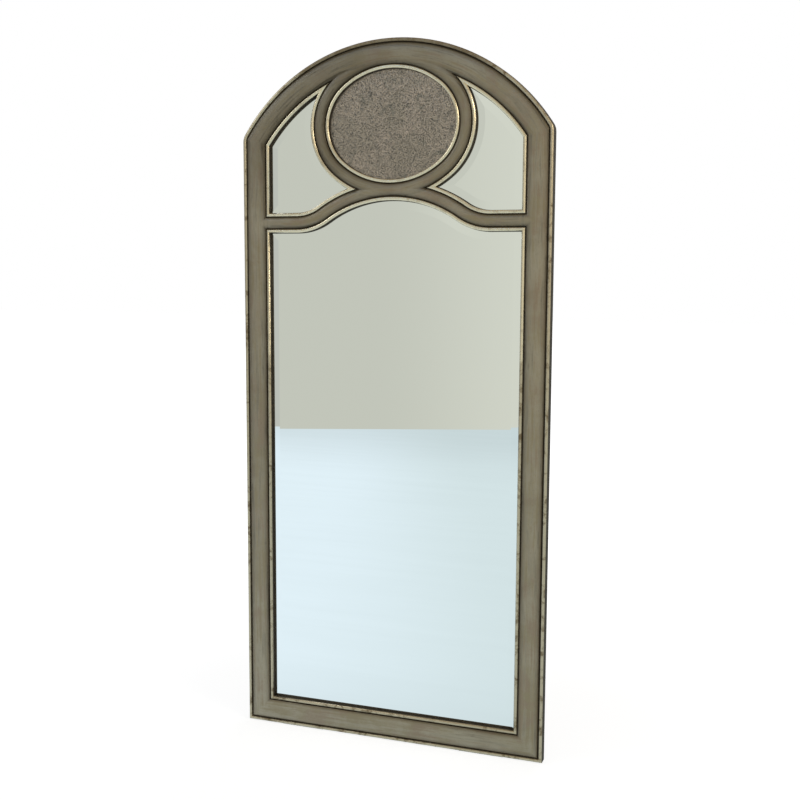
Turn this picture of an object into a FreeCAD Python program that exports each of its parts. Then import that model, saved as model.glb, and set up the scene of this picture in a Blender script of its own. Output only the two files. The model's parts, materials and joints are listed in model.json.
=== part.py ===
import FreeCAD, Part
import math
import os

# Arched full-length floor mirror.
# X runs across the mirror, Z up, and the glass looks towards -Y.
# The origin is the centre of the footprint, on the floor.

V = FreeCAD.Vector

# Overall frame
FRAME_WIDTH = 975.0
FRAME_HEIGHT = 2138.0
ARCH_SHARE = 0.5877       # shares are of the frame's width; this is the arch's radius
SHOULDER_ROUND = 42.0     # where the outside turns from a stile into the arch
WIDE_SHARE = 0.0913       # stiles, bottom rail and arch: band from outer edge to sight edge
NARROW_SHARE = 0.0626     # cross rail and the band round the medallion

# Depths, measured forward from the back face of the frame
PLATE_DEPTH = 28.0        # the flat ground that carries the beads
GLASS_FACE_DEPTH = 20.0   # front of the panes
GLASS_THICK = 5.0
MEDALLION_GLASS_THICK = 4.0
BACKER_THICK = 3.0
PANEL_THICK = 3.0
PANEL_SINK = 3.2
RABBET = 10.0             # width of the ledge that the panes bear on
PANE_CLEARANCE = 2.0      # between a pane's edge and its rabbet

# Crowned faces
CUSHION_EDGE_ROUND = 6.0
WIDE_CROWN_DEPTH = 36.0
RAIL_CROWN_DEPTH = 35.4
RING_CROWN_DEPTH = 35.0

# Beads
BEAD_WIDTH = 11.8         # a half round in narrow flats
BEAD_FLATS = 5
BEAD_CHANNEL = 13.0       # flat ground kept clear beside each sight edge
CHANNEL_MARGIN = 0.4      # from the channel to the foot of the crowned face

# Medallion: an oval of four arcs. Shares are of the frame's width
MEDALLION_HALF_WIDTH_SHARE = 0.2041
MEDALLION_HALF_HEIGHT_SHARE = 0.1641
MEDALLION_END_SHARE = 0.14154
MEDALLION_COVER_SHARE = 0.08923   # from the top of the frame down to the oval
MEDALLION_LIFT = 1.0              # how much wider the crossing is than one narrow band

# Ogee edge over the main pane, also in shares of the frame's width
OGEE_RISE_SHARE = 0.0959
OGEE_CROWN_SHARE = 0.37128
OGEE_FOOT_SHARE = 0.1918

# Bevelled panes
BEVEL_SHARE = 0.0328      # of the frame's width
BEVEL_DROP = 2.0

# Joinery
ARCH_JOINT_ANGLE = 58.0   # degrees above the horizontal, about the arch's centre
DOWEL_RADIUS = 4.0
DOWEL_LENGTH = 48.0
DOWEL_CLEARANCE = 0.1
DOWEL_END_ROOM = 1.0
DOWEL_DEPTH = 11.5
SHORT_DOWEL_LENGTH = 36.0
WIDE_DOWEL_SHARES = (0.36, 0.68)
NARROW_DOWEL_SHARE = 0.5
RAIL_END_DOWEL_SHARES = (0.36, 0.64)
SPLINE_THICK = 4.0
SPLINE_WIDTH = 36.0
SPLINE_LENGTH = 60.0
SPLINE_CLEARANCE = 0.1

# Glue blocks behind the panes
BLOCK_LENGTH = 60.0
BLOCK_WIDTH = 8.0
BLOCK_THICK = 8.0
SHORT_BLOCK_LENGTH = 30.0
BLOCK_CLEARANCE = 0.2
SIDE_BLOCK_SHARES = (0.1, 0.37, 0.63, 0.9)
BASE_BLOCK_SHARES = (-0.7, 0.0, 0.7)

# Back panel and its screws
PANEL_INSET = 46.0
PANEL_CLEARANCE = 0.5     # between its edge and the sinking
PANEL_SCREW_INSET = 9.0
PANEL_SCREW_RADIUS = 1.5
PANEL_SCREW_LENGTH = 14.0
PANEL_SCREW_HEAD_RADIUS = 3.2
PANEL_SCREW_HEAD_HEIGHT = 1.7
SIDE_SCREW_SHARES = (0.06, 0.28, 0.5, 0.72, 0.94)
BASE_SCREW_SHARES = (-0.6, 0.0, 0.6)
ARCH_SCREW_ANGLES = (42.0, 66.0, 90.0, 114.0, 138.0)
SCREW_CLEARANCE = 0.05

# Hangers
HANGER_SHARE = 0.7944     # of the frame's height, up to the axis of the rings
STRAP_WIDTH = 20.0
STRAP_THICK = 1.5
STRAP_LENGTH = 66.0
LOOP_CLEARANCE = 0.1
RING_WIRE_RADIUS = 2.0
RING_CORNER_RADIUS = 5.0
RING_HALF_WIDTH = 18.0
RING_LEG = 5.0
RING_AXIS_STANDOFF = 3.9
RING_RUNS = 8             # straight runs in the bow of a ring
HANGER_SCREW_RADIUS = 2.0
HANGER_SCREW_LENGTH = 18.0
HANGER_SCREW_HEAD_RADIUS = 4.0
HANGER_SCREW_HEAD_HEIGHT = 2.2
HANGER_SCREW_EDGE = 0.9       # the upright part of the head's rim
HANGER_SCREW_TOP_RADIUS = 2.4
HANGER_SCREW_FIRST = 38.0
HANGER_SCREW_PITCH = 20.0
STRAP_HOLE_CLEARANCE = 0.3

# Bumpers and floor pads
BUMPER_RADIUS = 11.0
BUMPER_THICK = 8.0
BUMPER_LOW_HEIGHT = 130.0
BUMPER_ARCH_ANGLE = 45.0
PAD_LENGTH = 140.0
PAD_DEPTH = 27.0
PAD_THICK = 3.0
PAD_PROUD = 1.5
PAD_INSET = 120.0

OVERRUN = 20.0            # how far every cutting tool runs past the stock
ROD_SIDES = 6             # dowels, screws and wire are plain six-sided rods
ARCH_REGION_STEP = 12.0   # degrees between the points of a region that passes outside the arch
HALF_TURN = 180.0         # degrees

# Places worked out from the sizes above
HALF_WIDTH = FRAME_WIDTH / 2
WIDE_BAND = WIDE_SHARE * FRAME_WIDTH
NARROW_BAND = NARROW_SHARE * FRAME_WIDTH
SIGHT_X = HALF_WIDTH - WIDE_BAND
BASE_Z = PAD_PROUD
TOP_Z = BASE_Z + FRAME_HEIGHT
ARCH_RADIUS = ARCH_SHARE * FRAME_WIDTH
ARCH_Z = TOP_Z - ARCH_RADIUS
ARCH_SIGHT_RADIUS = ARCH_RADIUS - WIDE_BAND
BACK_Y = (WIDE_CROWN_DEPTH + BUMPER_THICK) / 2 - BUMPER_THICK
PANEL_BACK = PANEL_SINK - PANEL_THICK
BEVEL_WIDTH = BEVEL_SHARE * FRAME_WIDTH

MEDALLION_HALF_WIDTH = MEDALLION_HALF_WIDTH_SHARE * FRAME_WIDTH
MEDALLION_HALF_HEIGHT = MEDALLION_HALF_HEIGHT_SHARE * FRAME_WIDTH
MEDALLION_END_RADIUS = MEDALLION_END_SHARE * FRAME_WIDTH
MEDALLION_Z = TOP_Z - MEDALLION_COVER_SHARE * FRAME_WIDTH - MEDALLION_HALF_HEIGHT
END_X = MEDALLION_HALF_WIDTH - MEDALLION_END_RADIUS
FLAT_RADIUS = (END_X ** 2 + MEDALLION_HALF_HEIGHT ** 2 - MEDALLION_END_RADIUS ** 2) / (
    2 * (MEDALLION_HALF_HEIGHT - MEDALLION_END_RADIUS))
FLAT_SHIFT = FLAT_RADIUS - MEDALLION_HALF_HEIGHT
OVAL_ANGLE = math.atan2(FLAT_SHIFT, END_X)      # where an end arc meets a flat arc

OGEE_RISE = OGEE_RISE_SHARE * FRAME_WIDTH
OGEE_CROWN_RADIUS = OGEE_CROWN_SHARE * FRAME_WIDTH
OGEE_FOOT_RADIUS = OGEE_FOOT_SHARE * FRAME_WIDTH
OGEE_TOP_Z = MEDALLION_Z - MEDALLION_HALF_HEIGHT - NARROW_BAND - MEDALLION_LIFT
CROWN_Z = OGEE_TOP_Z - OGEE_CROWN_RADIUS
FLAT_Z = OGEE_TOP_Z - OGEE_RISE
OGEE_ANGLE = math.acos(1 - OGEE_RISE / (OGEE_CROWN_RADIUS + OGEE_FOOT_RADIUS))
FOOT_X = (OGEE_CROWN_RADIUS + OGEE_FOOT_RADIUS) * math.sin(OGEE_ANGLE)
FOOT_Z = FLAT_Z + OGEE_FOOT_RADIUS

QUARTER = math.pi / 2

# The centres of the arcs
ARCH_CENTRE = (0, ARCH_Z)
CROWN_CENTRE = (0, CROWN_Z)
FOOT_CENTRE = (FOOT_X, FOOT_Z)
END_CENTRE = (END_X, MEDALLION_Z)
SHOULDER_CENTRE = (HALF_WIDTH - SHOULDER_ROUND,
                   ARCH_Z + math.sqrt((ARCH_RADIUS - SHOULDER_ROUND) ** 2
                                      - (HALF_WIDTH - SHOULDER_ROUND) ** 2))
SHOULDER_ANGLE = math.atan2(SHOULDER_CENTRE[1] - ARCH_Z, SHOULDER_CENTRE[0])
UPPER_CENTRE = (0, MEDALLION_Z - FLAT_SHIFT)
LOWER_CENTRE = (0, MEDALLION_Z + FLAT_SHIFT)


def at(x, depth, z):
    """A point given by its depth in front of the frame's back face."""
    return V(x, BACK_Y - depth, z)


def polar(centre, radius, angle):
    """The x, z point at an angle measured from +X towards +Z."""
    return (centre[0] + radius * math.cos(angle), centre[1] + radius * math.sin(angle))


def angle_of(centre, point):
    """The angle of a point about a centre, from +X towards +Z."""
    return math.atan2(point[1] - centre[1], point[0] - centre[0])


def mirrored(points):
    """The same points on the other side of the centre line."""
    return tuple((-x, z) for x, z in points)


def between(p, q, share):
    """The point part of the way from p to q."""
    return (p[0] + share * (q[0] - p[0]), p[1] + share * (q[1] - p[1]))


def circles_meet(c1, r1, c2, r2, pick):
    """The meeting point of two circles, the one with the larger value of pick(point)."""
    dx = c2[0] - c1[0]
    dz = c2[1] - c1[1]
    gap = math.hypot(dx, dz)
    along = (r1 ** 2 - r2 ** 2 + gap ** 2) / (2 * gap)
    off = math.sqrt(r1 ** 2 - along ** 2)
    foot = (c1[0] + along * dx / gap, c1[1] + along * dz / gap)
    both = [(foot[0] - s * off * dz / gap, foot[1] + s * off * dx / gap) for s in (1, -1)]
    return max(both, key=pick)


def line(p, q):
    """A straight edge between two x, z points, on the back plane."""
    return Part.makeLine(at(p[0], 0, p[1]), at(q[0], 0, q[1]))


def arc(centre, radius, start, end):
    """A circular edge between two angles, on the back plane."""
    points = [polar(centre, radius, a) for a in (start, (start + end) / 2, end)]
    return Part.Arc(*[at(p[0], 0, p[1]) for p in points]).toShape()


def arc_to(centre, radius, p, q):
    """A circular edge from p to q by the shorter way round."""
    start = angle_of(centre, p)
    turn = angle_of(centre, q) - start
    turn -= 2 * math.pi * round(turn / (2 * math.pi))
    return arc(centre, radius, start, start + turn)


def prism(edges, low, high):
    """A solid between two depths, with the outline that the edges close."""
    face = Part.Face(Part.Wire(Part.__sortEdges__(edges)))
    face.translate(V(0, -low, 0))
    return face.extrude(V(0, low - high, 0))


def polygon(points, low, high):
    """A straight-sided prism."""
    closed = list(points) + [points[0]]
    return prism([line(p, q) for p, q in zip(closed, closed[1:])], low, high)


def flip(shape):
    """The mirror image on the other side of the centre line."""
    return shape.mirror(V(0, 0, 0), V(1, 0, 0))


def join(shapes):
    """One solid from several that overlap or touch."""
    return shapes[0].multiFuse(shapes[1:]).removeSplitter()


# Outlines. Each grows by the given amount into the frame's material.

def outer_outline(shrink):
    """The frame's outside, or a line that runs inside it."""
    x = HALF_WIDTH - shrink
    radius = ARCH_RADIUS - shrink
    low = BASE_Z + shrink
    turn = SHOULDER_ROUND - shrink
    if turn > 0:
        end = (x, SHOULDER_CENTRE[1])
        start = polar(ARCH_CENTRE, radius, SHOULDER_ANGLE)
        corners = [arc_to(SHOULDER_CENTRE, turn, end, start),
                   arc_to(mirrored([SHOULDER_CENTRE])[0], turn, (-x, end[1]), (-start[0], start[1]))]
    else:
        end = (x, ARCH_Z + math.sqrt(radius ** 2 - x ** 2))
        start = end
        corners = []
    return [
        line((-x, low), (x, low)),
        line((x, low), end),
        arc_to(ARCH_CENTRE, radius, start, (-start[0], start[1])),
        line((-x, end[1]), (-x, low)),
    ] + corners


def main_outline(grow):
    """The main opening, with its ogee top."""
    x = SIGHT_X + grow
    low = BASE_Z + WIDE_BAND - grow
    flat = FLAT_Z + grow
    bend = polar(CROWN_CENTRE, OGEE_CROWN_RADIUS + grow, QUARTER - OGEE_ANGLE)
    left_bend = (-bend[0], bend[1])
    return [
        line((-x, low), (x, low)),
        line((x, low), (x, flat)),
        line((x, flat), (FOOT_X, flat)),
        arc_to(FOOT_CENTRE, OGEE_FOOT_RADIUS - grow, (FOOT_X, flat), bend),
        arc_to(CROWN_CENTRE, OGEE_CROWN_RADIUS + grow, bend, left_bend),
        arc_to((-FOOT_X, FOOT_Z), OGEE_FOOT_RADIUS - grow, left_bend, (-FOOT_X, flat)),
        line((-FOOT_X, flat), (-x, flat)),
        line((-x, flat), (-x, low)),
    ]


def medallion_outline(grow):
    """The oval opening of the medallion, right end first."""
    end = MEDALLION_END_RADIUS + grow
    flat = FLAT_RADIUS + grow
    return [
        arc(END_CENTRE, end, -OVAL_ANGLE, OVAL_ANGLE),
        arc(UPPER_CENTRE, flat, OVAL_ANGLE, math.pi - OVAL_ANGLE),
        arc((-END_X, MEDALLION_Z), end, math.pi - OVAL_ANGLE, math.pi + OVAL_ANGLE),
        arc(LOWER_CENTRE, flat, -math.pi + OVAL_ANGLE, -OVAL_ANGLE),
    ]


def spandrel_corners(grow):
    """The corners and bends of the right spandrel opening, in order."""
    x = SIGHT_X + grow
    low = FLAT_Z + NARROW_BAND - grow
    arch = ARCH_SIGHT_RADIUS + grow
    end = MEDALLION_END_RADIUS + NARROW_BAND - grow
    flat = FLAT_RADIUS + NARROW_BAND - grow
    crown = OGEE_CROWN_RADIUS + NARROW_BAND - grow
    return {
        "sill_corner": (x, low),
        "shoulder": (x, ARCH_Z + math.sqrt(arch ** 2 - x ** 2)),
        "upper_tip": circles_meet(ARCH_CENTRE, arch, END_CENTRE, end, lambda p: p[0]),
        "ring_bend": polar(END_CENTRE, end, -OVAL_ANGLE),
        "lower_tip": circles_meet(LOWER_CENTRE, flat, CROWN_CENTRE, crown,
                                  lambda p: p[0]),
        "ogee_bend": polar(CROWN_CENTRE, crown, QUARTER - OGEE_ANGLE),
        "ogee_foot": (FOOT_X, low),
    }


def spandrel_outline(grow):
    """The right spandrel opening."""
    c = spandrel_corners(grow)
    return [
        line(c["sill_corner"], c["shoulder"]),
        arc_to(ARCH_CENTRE, ARCH_SIGHT_RADIUS + grow, c["shoulder"], c["upper_tip"]),
        arc_to(END_CENTRE, MEDALLION_END_RADIUS + NARROW_BAND - grow,
               c["upper_tip"], c["ring_bend"]),
        arc_to(LOWER_CENTRE, FLAT_RADIUS + NARROW_BAND - grow,
               c["ring_bend"], c["lower_tip"]),
        arc_to(CROWN_CENTRE, OGEE_CROWN_RADIUS + NARROW_BAND - grow,
               c["lower_tip"], c["ogee_bend"]),
        arc_to(FOOT_CENTRE, OGEE_FOOT_RADIUS - NARROW_BAND + grow,
               c["ogee_bend"], c["ogee_foot"]),
        line(c["ogee_foot"], c["sill_corner"]),
    ]


# Mouldings. A section is drawn across the band, from its inner edge outwards.

def cushion_section(width, crown_depth):
    """The crowned face: edges eased by two narrow flats and one long arc between them."""
    half = width / 2
    rise = crown_depth - PLATE_DEPTH
    inner = half - CUSHION_EDGE_ROUND
    crown = (inner ** 2 + rise ** 2 - CUSHION_EDGE_ROUND ** 2) / (2 * (rise - CUSHION_EDGE_ROUND))
    lean = math.atan2(inner, crown - rise)
    bend = CUSHION_EDGE_ROUND * math.sin(lean)
    bend_rise = CUSHION_EDGE_ROUND * math.cos(lean)
    mid = (math.pi / 2 + lean) / 2
    mid_in = CUSHION_EDGE_ROUND * math.sin(mid)
    mid_rise = CUSHION_EDGE_ROUND * math.cos(mid)
    foot = PLATE_DEPTH - CUSHION_EDGE_ROUND
    left = [(-half, foot), (-half, PLATE_DEPTH), (-inner - mid_in, PLATE_DEPTH + mid_rise),
            (-inner - bend, PLATE_DEPTH + bend_rise)]
    right = [(-across, depth) for across, depth in reversed(left)]
    return left, (0, crown_depth), right


def cushion_face(place, width, crown_depth):
    """The section as a face; place puts (across, depth) in space."""
    left, top, right = cushion_section(width, crown_depth)
    a, b, c, d = [place(*p) for p in left]
    e, f, g, h = [place(*p) for p in right]
    edges = [
        Part.makeLine(h, a),
        Part.makePolygon([a, b, c, d]),
        Part.Arc(d, place(*top), e).toShape(),
        Part.makePolygon([e, f, g, h]),
    ]
    return Part.Face(Part.Wire([edge for run in edges for edge in run.Edges]))


def bead_face(place):
    """The bead's section as a face: flats that follow a half round."""
    half = BEAD_WIDTH / 2
    points = []
    for i in range(BEAD_FLATS + 1):
        angle = math.pi * i / BEAD_FLATS
        points.append(place(-half * math.cos(angle), PLATE_DEPTH + half * math.sin(angle)))
    return Part.Face(Part.makePolygon(points + points[:1]))


def run_up(face_of, x, low, high):
    """A straight moulding that stands at x, from z low to z high."""
    face = face_of(lambda across, depth: at(x + across, depth, low))
    return face.extrude(V(0, 0, high - low))


def run_across(face_of, z, left, right):
    """A straight moulding that lies at z, from x left to x right."""
    face = face_of(lambda across, depth: at(left, depth, z + across))
    return face.extrude(V(right - left, 0, 0))


def run_round(face_of, centre, radius, start, end):
    """A moulding bent to a radius, between two angles."""
    face = face_of(lambda across, depth: at(centre[0] + radius + across, depth, centre[1]))
    axis = V(0, -1, 0)
    middle = at(centre[0], 0, centre[1])
    solid = face.revolve(middle, axis, math.degrees(end - start))
    solid.rotate(middle, axis, math.degrees(start))
    return solid


def beyond(p, q, keep, reach):
    """A block on the side of the line pq that does not hold keep, centred on pq."""
    size = math.hypot(q[0] - p[0], q[1] - p[1])
    along = ((q[0] - p[0]) / size * reach, (q[1] - p[1]) / size * reach)
    middle = ((p[0] + q[0]) / 2, (p[1] + q[1]) / 2)
    side = along[0] * (keep[1] - p[1]) - along[1] * (keep[0] - p[0])
    out = (along[1], -along[0]) if side > 0 else (-along[1], along[0])
    a = (middle[0] - along[0], middle[1] - along[1])
    b = (middle[0] + along[0], middle[1] + along[1])
    corners = [a, b, (b[0] + out[0], b[1] + out[1]), (a[0] + out[0], a[1] + out[1])]
    return polygon(corners, -OVERRUN, WIDE_CROWN_DEPTH + OVERRUN)


def trimmed(shape, cuts, reach):
    """The part of a moulding on the kept side of each line."""
    for p, q, keep in cuts:
        shape = shape.cut(beyond(p, q, keep, reach))
    return shape


# Lines that several pieces share

SIGHT = spandrel_corners(0)
BASE_MITRE = ((HALF_WIDTH, BASE_Z), (SIGHT_X, BASE_Z + WIDE_BAND))
SHOULDER_OUT = (HALF_WIDTH, ARCH_Z + math.sqrt(ARCH_RADIUS ** 2 - HALF_WIDTH ** 2))
SHOULDER_LINE = (SIGHT["shoulder"], SHOULDER_OUT)
CENTRE = (0, MEDALLION_Z)
MITRE_REACH = 2 * WIDE_BAND
TIP_REACH = WIDE_BAND


def stretch(p, q, extra):
    """The point beyond q, on the line from p through q."""
    size = math.hypot(q[0] - p[0], q[1] - p[1])
    return (q[0] + extra * (q[0] - p[0]) / size, q[1] + extra * (q[1] - p[1]) / size)


def wide_face(place):
    """The crowned section of the stiles, the bottom rail and the arch."""
    width = WIDE_BAND - 2 * (BEAD_CHANNEL + CHANNEL_MARGIN)
    return cushion_face(place, width, WIDE_CROWN_DEPTH)


def wide_cushions():
    """The crowned faces of the right stile, the bottom rail and the arch, past their mitres."""
    middle = WIDE_BAND / 2
    stile = run_up(wide_face, HALF_WIDTH - middle, BASE_Z, SHOULDER_OUT[1])
    rail = run_across(wide_face, BASE_Z + middle, -HALF_WIDTH, HALF_WIDTH)
    low = angle_of(ARCH_CENTRE, SHOULDER_OUT) - WIDE_BAND / ARCH_RADIUS
    arch = run_round(wide_face, ARCH_CENTRE, ARCH_RADIUS - middle, low, math.pi - low)
    return stile, rail, arch


def narrow_cushions():
    """The crowned faces of the cross rail and of the band round the medallion."""
    width = NARROW_BAND - 2 * (BEAD_CHANNEL + CHANNEL_MARGIN)
    middle = NARROW_BAND / 2

    def rail_face(place):
        return cushion_face(place, width, RAIL_CROWN_DEPTH)

    def ring_face(place):
        return cushion_face(place, width, RING_CROWN_DEPTH)

    crown = run_round(rail_face, CROWN_CENTRE, OGEE_CROWN_RADIUS + middle,
                      QUARTER - OGEE_ANGLE, QUARTER + OGEE_ANGLE)
    foot = run_round(rail_face, FOOT_CENTRE, OGEE_FOOT_RADIUS - middle,
                     -QUARTER - OGEE_ANGLE, -QUARTER)
    flat = run_across(rail_face, FLAT_Z + middle, FOOT_X, SIGHT_X + WIDE_BAND / 2)
    rail = join([crown, foot, flat, flip(foot), flip(flat)])
    end = run_round(ring_face, END_CENTRE, MEDALLION_END_RADIUS + middle,
                    -OVAL_ANGLE, OVAL_ANGLE)
    over = run_round(ring_face, UPPER_CENTRE, FLAT_RADIUS + middle,
                     OVAL_ANGLE, math.pi - OVAL_ANGLE)
    under = run_round(ring_face, LOWER_CENTRE, FLAT_RADIUS + middle,
                      -math.pi + OVAL_ANGLE, -OVAL_ANGLE)
    ring = join([end, over, flip(end), under])
    return [rail, ring]


def opening_tools(grow, low, high):
    """Prisms that follow the four openings, grown into the frame."""
    spandrel = prism(spandrel_outline(grow), low, high)
    return [
        prism(main_outline(grow), low, high),
        prism(medallion_outline(grow), low, high),
        spandrel,
        flip(spandrel),
    ]


def worked_plate(cushions, holes):
    """The frame's plate with these crowned faces on it, opened, rabbeted and bored."""
    high = WIDE_CROWN_DEPTH + OVERRUN
    body = prism(outer_outline(0), 0, PLATE_DEPTH).multiFuse(cushions)
    tools = [prism(outer_outline(PANEL_INSET), -OVERRUN, PANEL_SINK),
             prism(medallion_outline(BEAD_CHANNEL), PLATE_DEPTH, high)]
    tools += opening_tools(0, -OVERRUN, high)
    tools += opening_tools(RABBET, -OVERRUN, GLASS_FACE_DEPTH)
    return body.cut(tools + holes).removeSplitter()


def disc(radius, low, high):
    """A cylinder about the arch's centre, from one depth to another."""
    return Part.makeCylinder(radius, high - low, at(0, low, ARCH_Z), V(0, -1, 0))


def turned_arch(cushion, holes):
    """The arch before its side pieces are parted, its rebates turned about its own centre."""
    sight = ARCH_RADIUS - WIDE_BAND
    body = prism(outer_outline(0), 0, PLATE_DEPTH).fuse(cushion)
    tools = [disc(sight, -OVERRUN, WIDE_CROWN_DEPTH + OVERRUN),
             disc(sight + RABBET, -OVERRUN, GLASS_FACE_DEPTH),
             disc(ARCH_RADIUS - PANEL_INSET, -OVERRUN, PANEL_SINK)]
    return body.cut(tools + holes).removeSplitter()


# Joint lines on the right-hand side, each from the sight edge outwards

BASE_INNER = (SIGHT_X, BASE_Z + WIDE_BAND)
UPPER_TIP = SIGHT["upper_tip"]
LOWER_TIP = SIGHT["lower_tip"]
UPPER_SEAM = polar(END_CENTRE, MEDALLION_END_RADIUS, angle_of(END_CENTRE, UPPER_TIP))
LOWER_SEAM = polar(LOWER_CENTRE, FLAT_RADIUS, angle_of(LOWER_CENTRE, LOWER_TIP))
RAIL_SEAM = polar(CROWN_CENTRE, OGEE_CROWN_RADIUS, angle_of(CROWN_CENTRE, LOWER_TIP))
ARCH_SEAM_IN = polar(ARCH_CENTRE, ARCH_SIGHT_RADIUS, math.radians(ARCH_JOINT_ANGLE))
ARCH_SEAM_OUT = polar(ARCH_CENTRE, ARCH_RADIUS, math.radians(ARCH_JOINT_ANGLE))
RAIL_END = ((SIGHT_X, FLAT_Z), (SIGHT_X, FLAT_Z + NARROW_BAND))


def around_arch(start, end):
    """Points outside the arch, in even steps between two angles in degrees."""
    steps = max(2, round(abs(end - start) / ARCH_REGION_STEP))
    angles = [math.radians(start + (end - start) * i / steps) for i in range(steps + 1)]
    return [polar(ARCH_CENTRE, ARCH_RADIUS + OVERRUN, a) for a in angles]


def frame_regions():
    """The outline, in front view, that each frame member is parted with, right-hand ones only."""
    base_out = stretch(BASE_INNER, (HALF_WIDTH, BASE_Z), OVERRUN)
    shoulder_out = stretch(SIGHT["shoulder"], SHOULDER_OUT, OVERRUN)
    shoulder_angle = math.degrees(angle_of(ARCH_CENTRE, SHOULDER_OUT))
    side_arch = [SIGHT["shoulder"], shoulder_out]
    side_arch += around_arch(shoulder_angle, ARCH_JOINT_ANGLE)[1:] + [ARCH_SEAM_IN]
    top_arch = around_arch(ARCH_JOINT_ANGLE, HALF_TURN - ARCH_JOINT_ANGLE)
    top_arch += mirrored([ARCH_SEAM_IN, UPPER_TIP, UPPER_SEAM])
    top_arch += [UPPER_SEAM, UPPER_TIP, ARCH_SEAM_IN]
    crossing = [RAIL_SEAM, LOWER_TIP, LOWER_SEAM]
    crossing += mirrored([LOWER_SEAM, LOWER_TIP, RAIL_SEAM])
    below = FLAT_Z - OVERRUN
    return {
        "stile": [base_out, BASE_INNER, SIGHT["shoulder"], shoulder_out],
        "bottom_rail": (base_out, BASE_INNER) + mirrored([BASE_INNER, base_out]),
        "arch_side": side_arch,
        "arch_crown": top_arch,
        "medallion_side": [UPPER_TIP, UPPER_SEAM, LOWER_SEAM, LOWER_TIP,
                           (FOOT_X, LOWER_TIP[1]), (FOOT_X, MEDALLION_Z)],
        "cross_rail_center": crossing,
        "cross_rail": [LOWER_TIP, RAIL_SEAM, (RAIL_SEAM[0], below), (SIGHT_X, below),
                       (SIGHT_X, LOWER_TIP[1])],
    }


def frame_members(holes):
    """The frame's members by name, each parted at its joints from a worked plate."""
    regions = frame_regions()
    stile, rail, arch = wide_cushions()
    cross_rail, ring = narrow_cushions()

    def parted(plate, name):
        return plate.common(polygon(regions[name], -OVERRUN, WIDE_CROWN_DEPTH + OVERRUN))

    upper = worked_plate([arch, cross_rail, ring], holes)
    right_stile = parted(worked_plate([stile, cross_rail], holes), "stile")
    nodes = {
        "stile_right": right_stile,
        "stile_left": flip(right_stile),
        "bottom_rail": parted(worked_plate([rail], holes), "bottom_rail"),
        "arch_crown": parted(upper, "arch_crown"),
        "cross_rail_center": parted(upper, "cross_rail_center"),
    }
    sides = {
        "arch_side": turned_arch(arch, holes),
        "medallion_side": upper,
        "cross_rail": upper,
    }
    for name, plate in sides.items():
        piece = parted(plate, name)
        nodes[name + "_right"] = piece
        nodes[name + "_left"] = flip(piece)
    return nodes


# Hidden joinery

def taper(start, aim, length, radius, end_radius):
    """A small six-sided rod or tapered head, from a point along an aim."""
    side = V(0, 1, 0).cross(aim) if aim.y == 0 else V(1, 0, 0)
    other = side.cross(aim)
    rings = []
    for reach, size in ((0, radius), (length, end_radius)):
        corners = []
        for i in range(ROD_SIDES + 1):
            angle = math.pi * (2 * i + 1) / ROD_SIDES
            spoke = side * (size * math.cos(angle)) + other * (size * math.sin(angle))
            corners.append(start + aim * reach + spoke)
        rings.append(Part.makePolygon(corners))
    return Part.makeLoft(rings, True, True)


def rod(point, direction, radius, length, depth):
    """A rod lying in the frame, centred on an x, z point."""
    start = at(point[0] - direction[0] * length / 2, depth, point[1] - direction[1] * length / 2)
    return taper(start, V(direction[0], 0, direction[1]), length, radius, radius)


def dowel_places():
    """Every dowel as its point, direction and length, on both sides."""
    wide = [SHOULDER_LINE, (ARCH_SEAM_IN, ARCH_SEAM_OUT)]
    narrow = [(UPPER_SEAM, UPPER_TIP), (LOWER_SEAM, LOWER_TIP), (RAIL_SEAM, LOWER_TIP)]
    jobs = [(joint, share, DOWEL_LENGTH) for joint in wide for share in WIDE_DOWEL_SHARES]
    jobs += [(joint, NARROW_DOWEL_SHARE, SHORT_DOWEL_LENGTH) for joint in narrow]
    jobs += [(RAIL_END, share, SHORT_DOWEL_LENGTH) for share in RAIL_END_DOWEL_SHARES]
    places = []
    for (p, q), share, length in jobs:
        size = math.hypot(q[0] - p[0], q[1] - p[1])
        normal = ((q[1] - p[1]) / size, -(q[0] - p[0]) / size)
        point = between(p, q, share)
        places.append((point, normal, length))
        places.append(((-point[0], point[1]), (-normal[0], normal[1]), length))
    return places


def dowels():
    """The dowels across the frame's joints."""
    return [rod(p, n, DOWEL_RADIUS, length, DOWEL_DEPTH) for p, n, length in dowel_places()]


def dowel_holes():
    """The bores that take the dowels."""
    radius = DOWEL_RADIUS + DOWEL_CLEARANCE
    return [rod(p, n, radius, length + DOWEL_END_ROOM, DOWEL_DEPTH)
            for p, n, length in dowel_places()]


def mitre_splines(spare):
    """The loose tongues in the two base mitres, or their slots with some to spare."""
    size = math.hypot(WIDE_BAND, WIDE_BAND)
    along = (WIDE_BAND / size, -WIDE_BAND / size)
    across = (-along[1], along[0])
    middle = between(BASE_INNER, (HALF_WIDTH, BASE_Z), NARROW_DOWEL_SHARE)
    a = SPLINE_LENGTH / 2 + spare
    b = SPLINE_WIDTH / 2 + spare
    corners = [(middle[0] + along[0] * i * a + across[0] * j * b,
                middle[1] + along[1] * i * a + across[1] * j * b)
               for i, j in ((1, 1), (1, -1), (-1, -1), (-1, 1))]
    low = DOWEL_DEPTH - SPLINE_THICK / 2 - spare
    right = polygon(corners, low, low + SPLINE_THICK + 2 * spare)
    return [right, flip(right)]


# Beads

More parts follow.
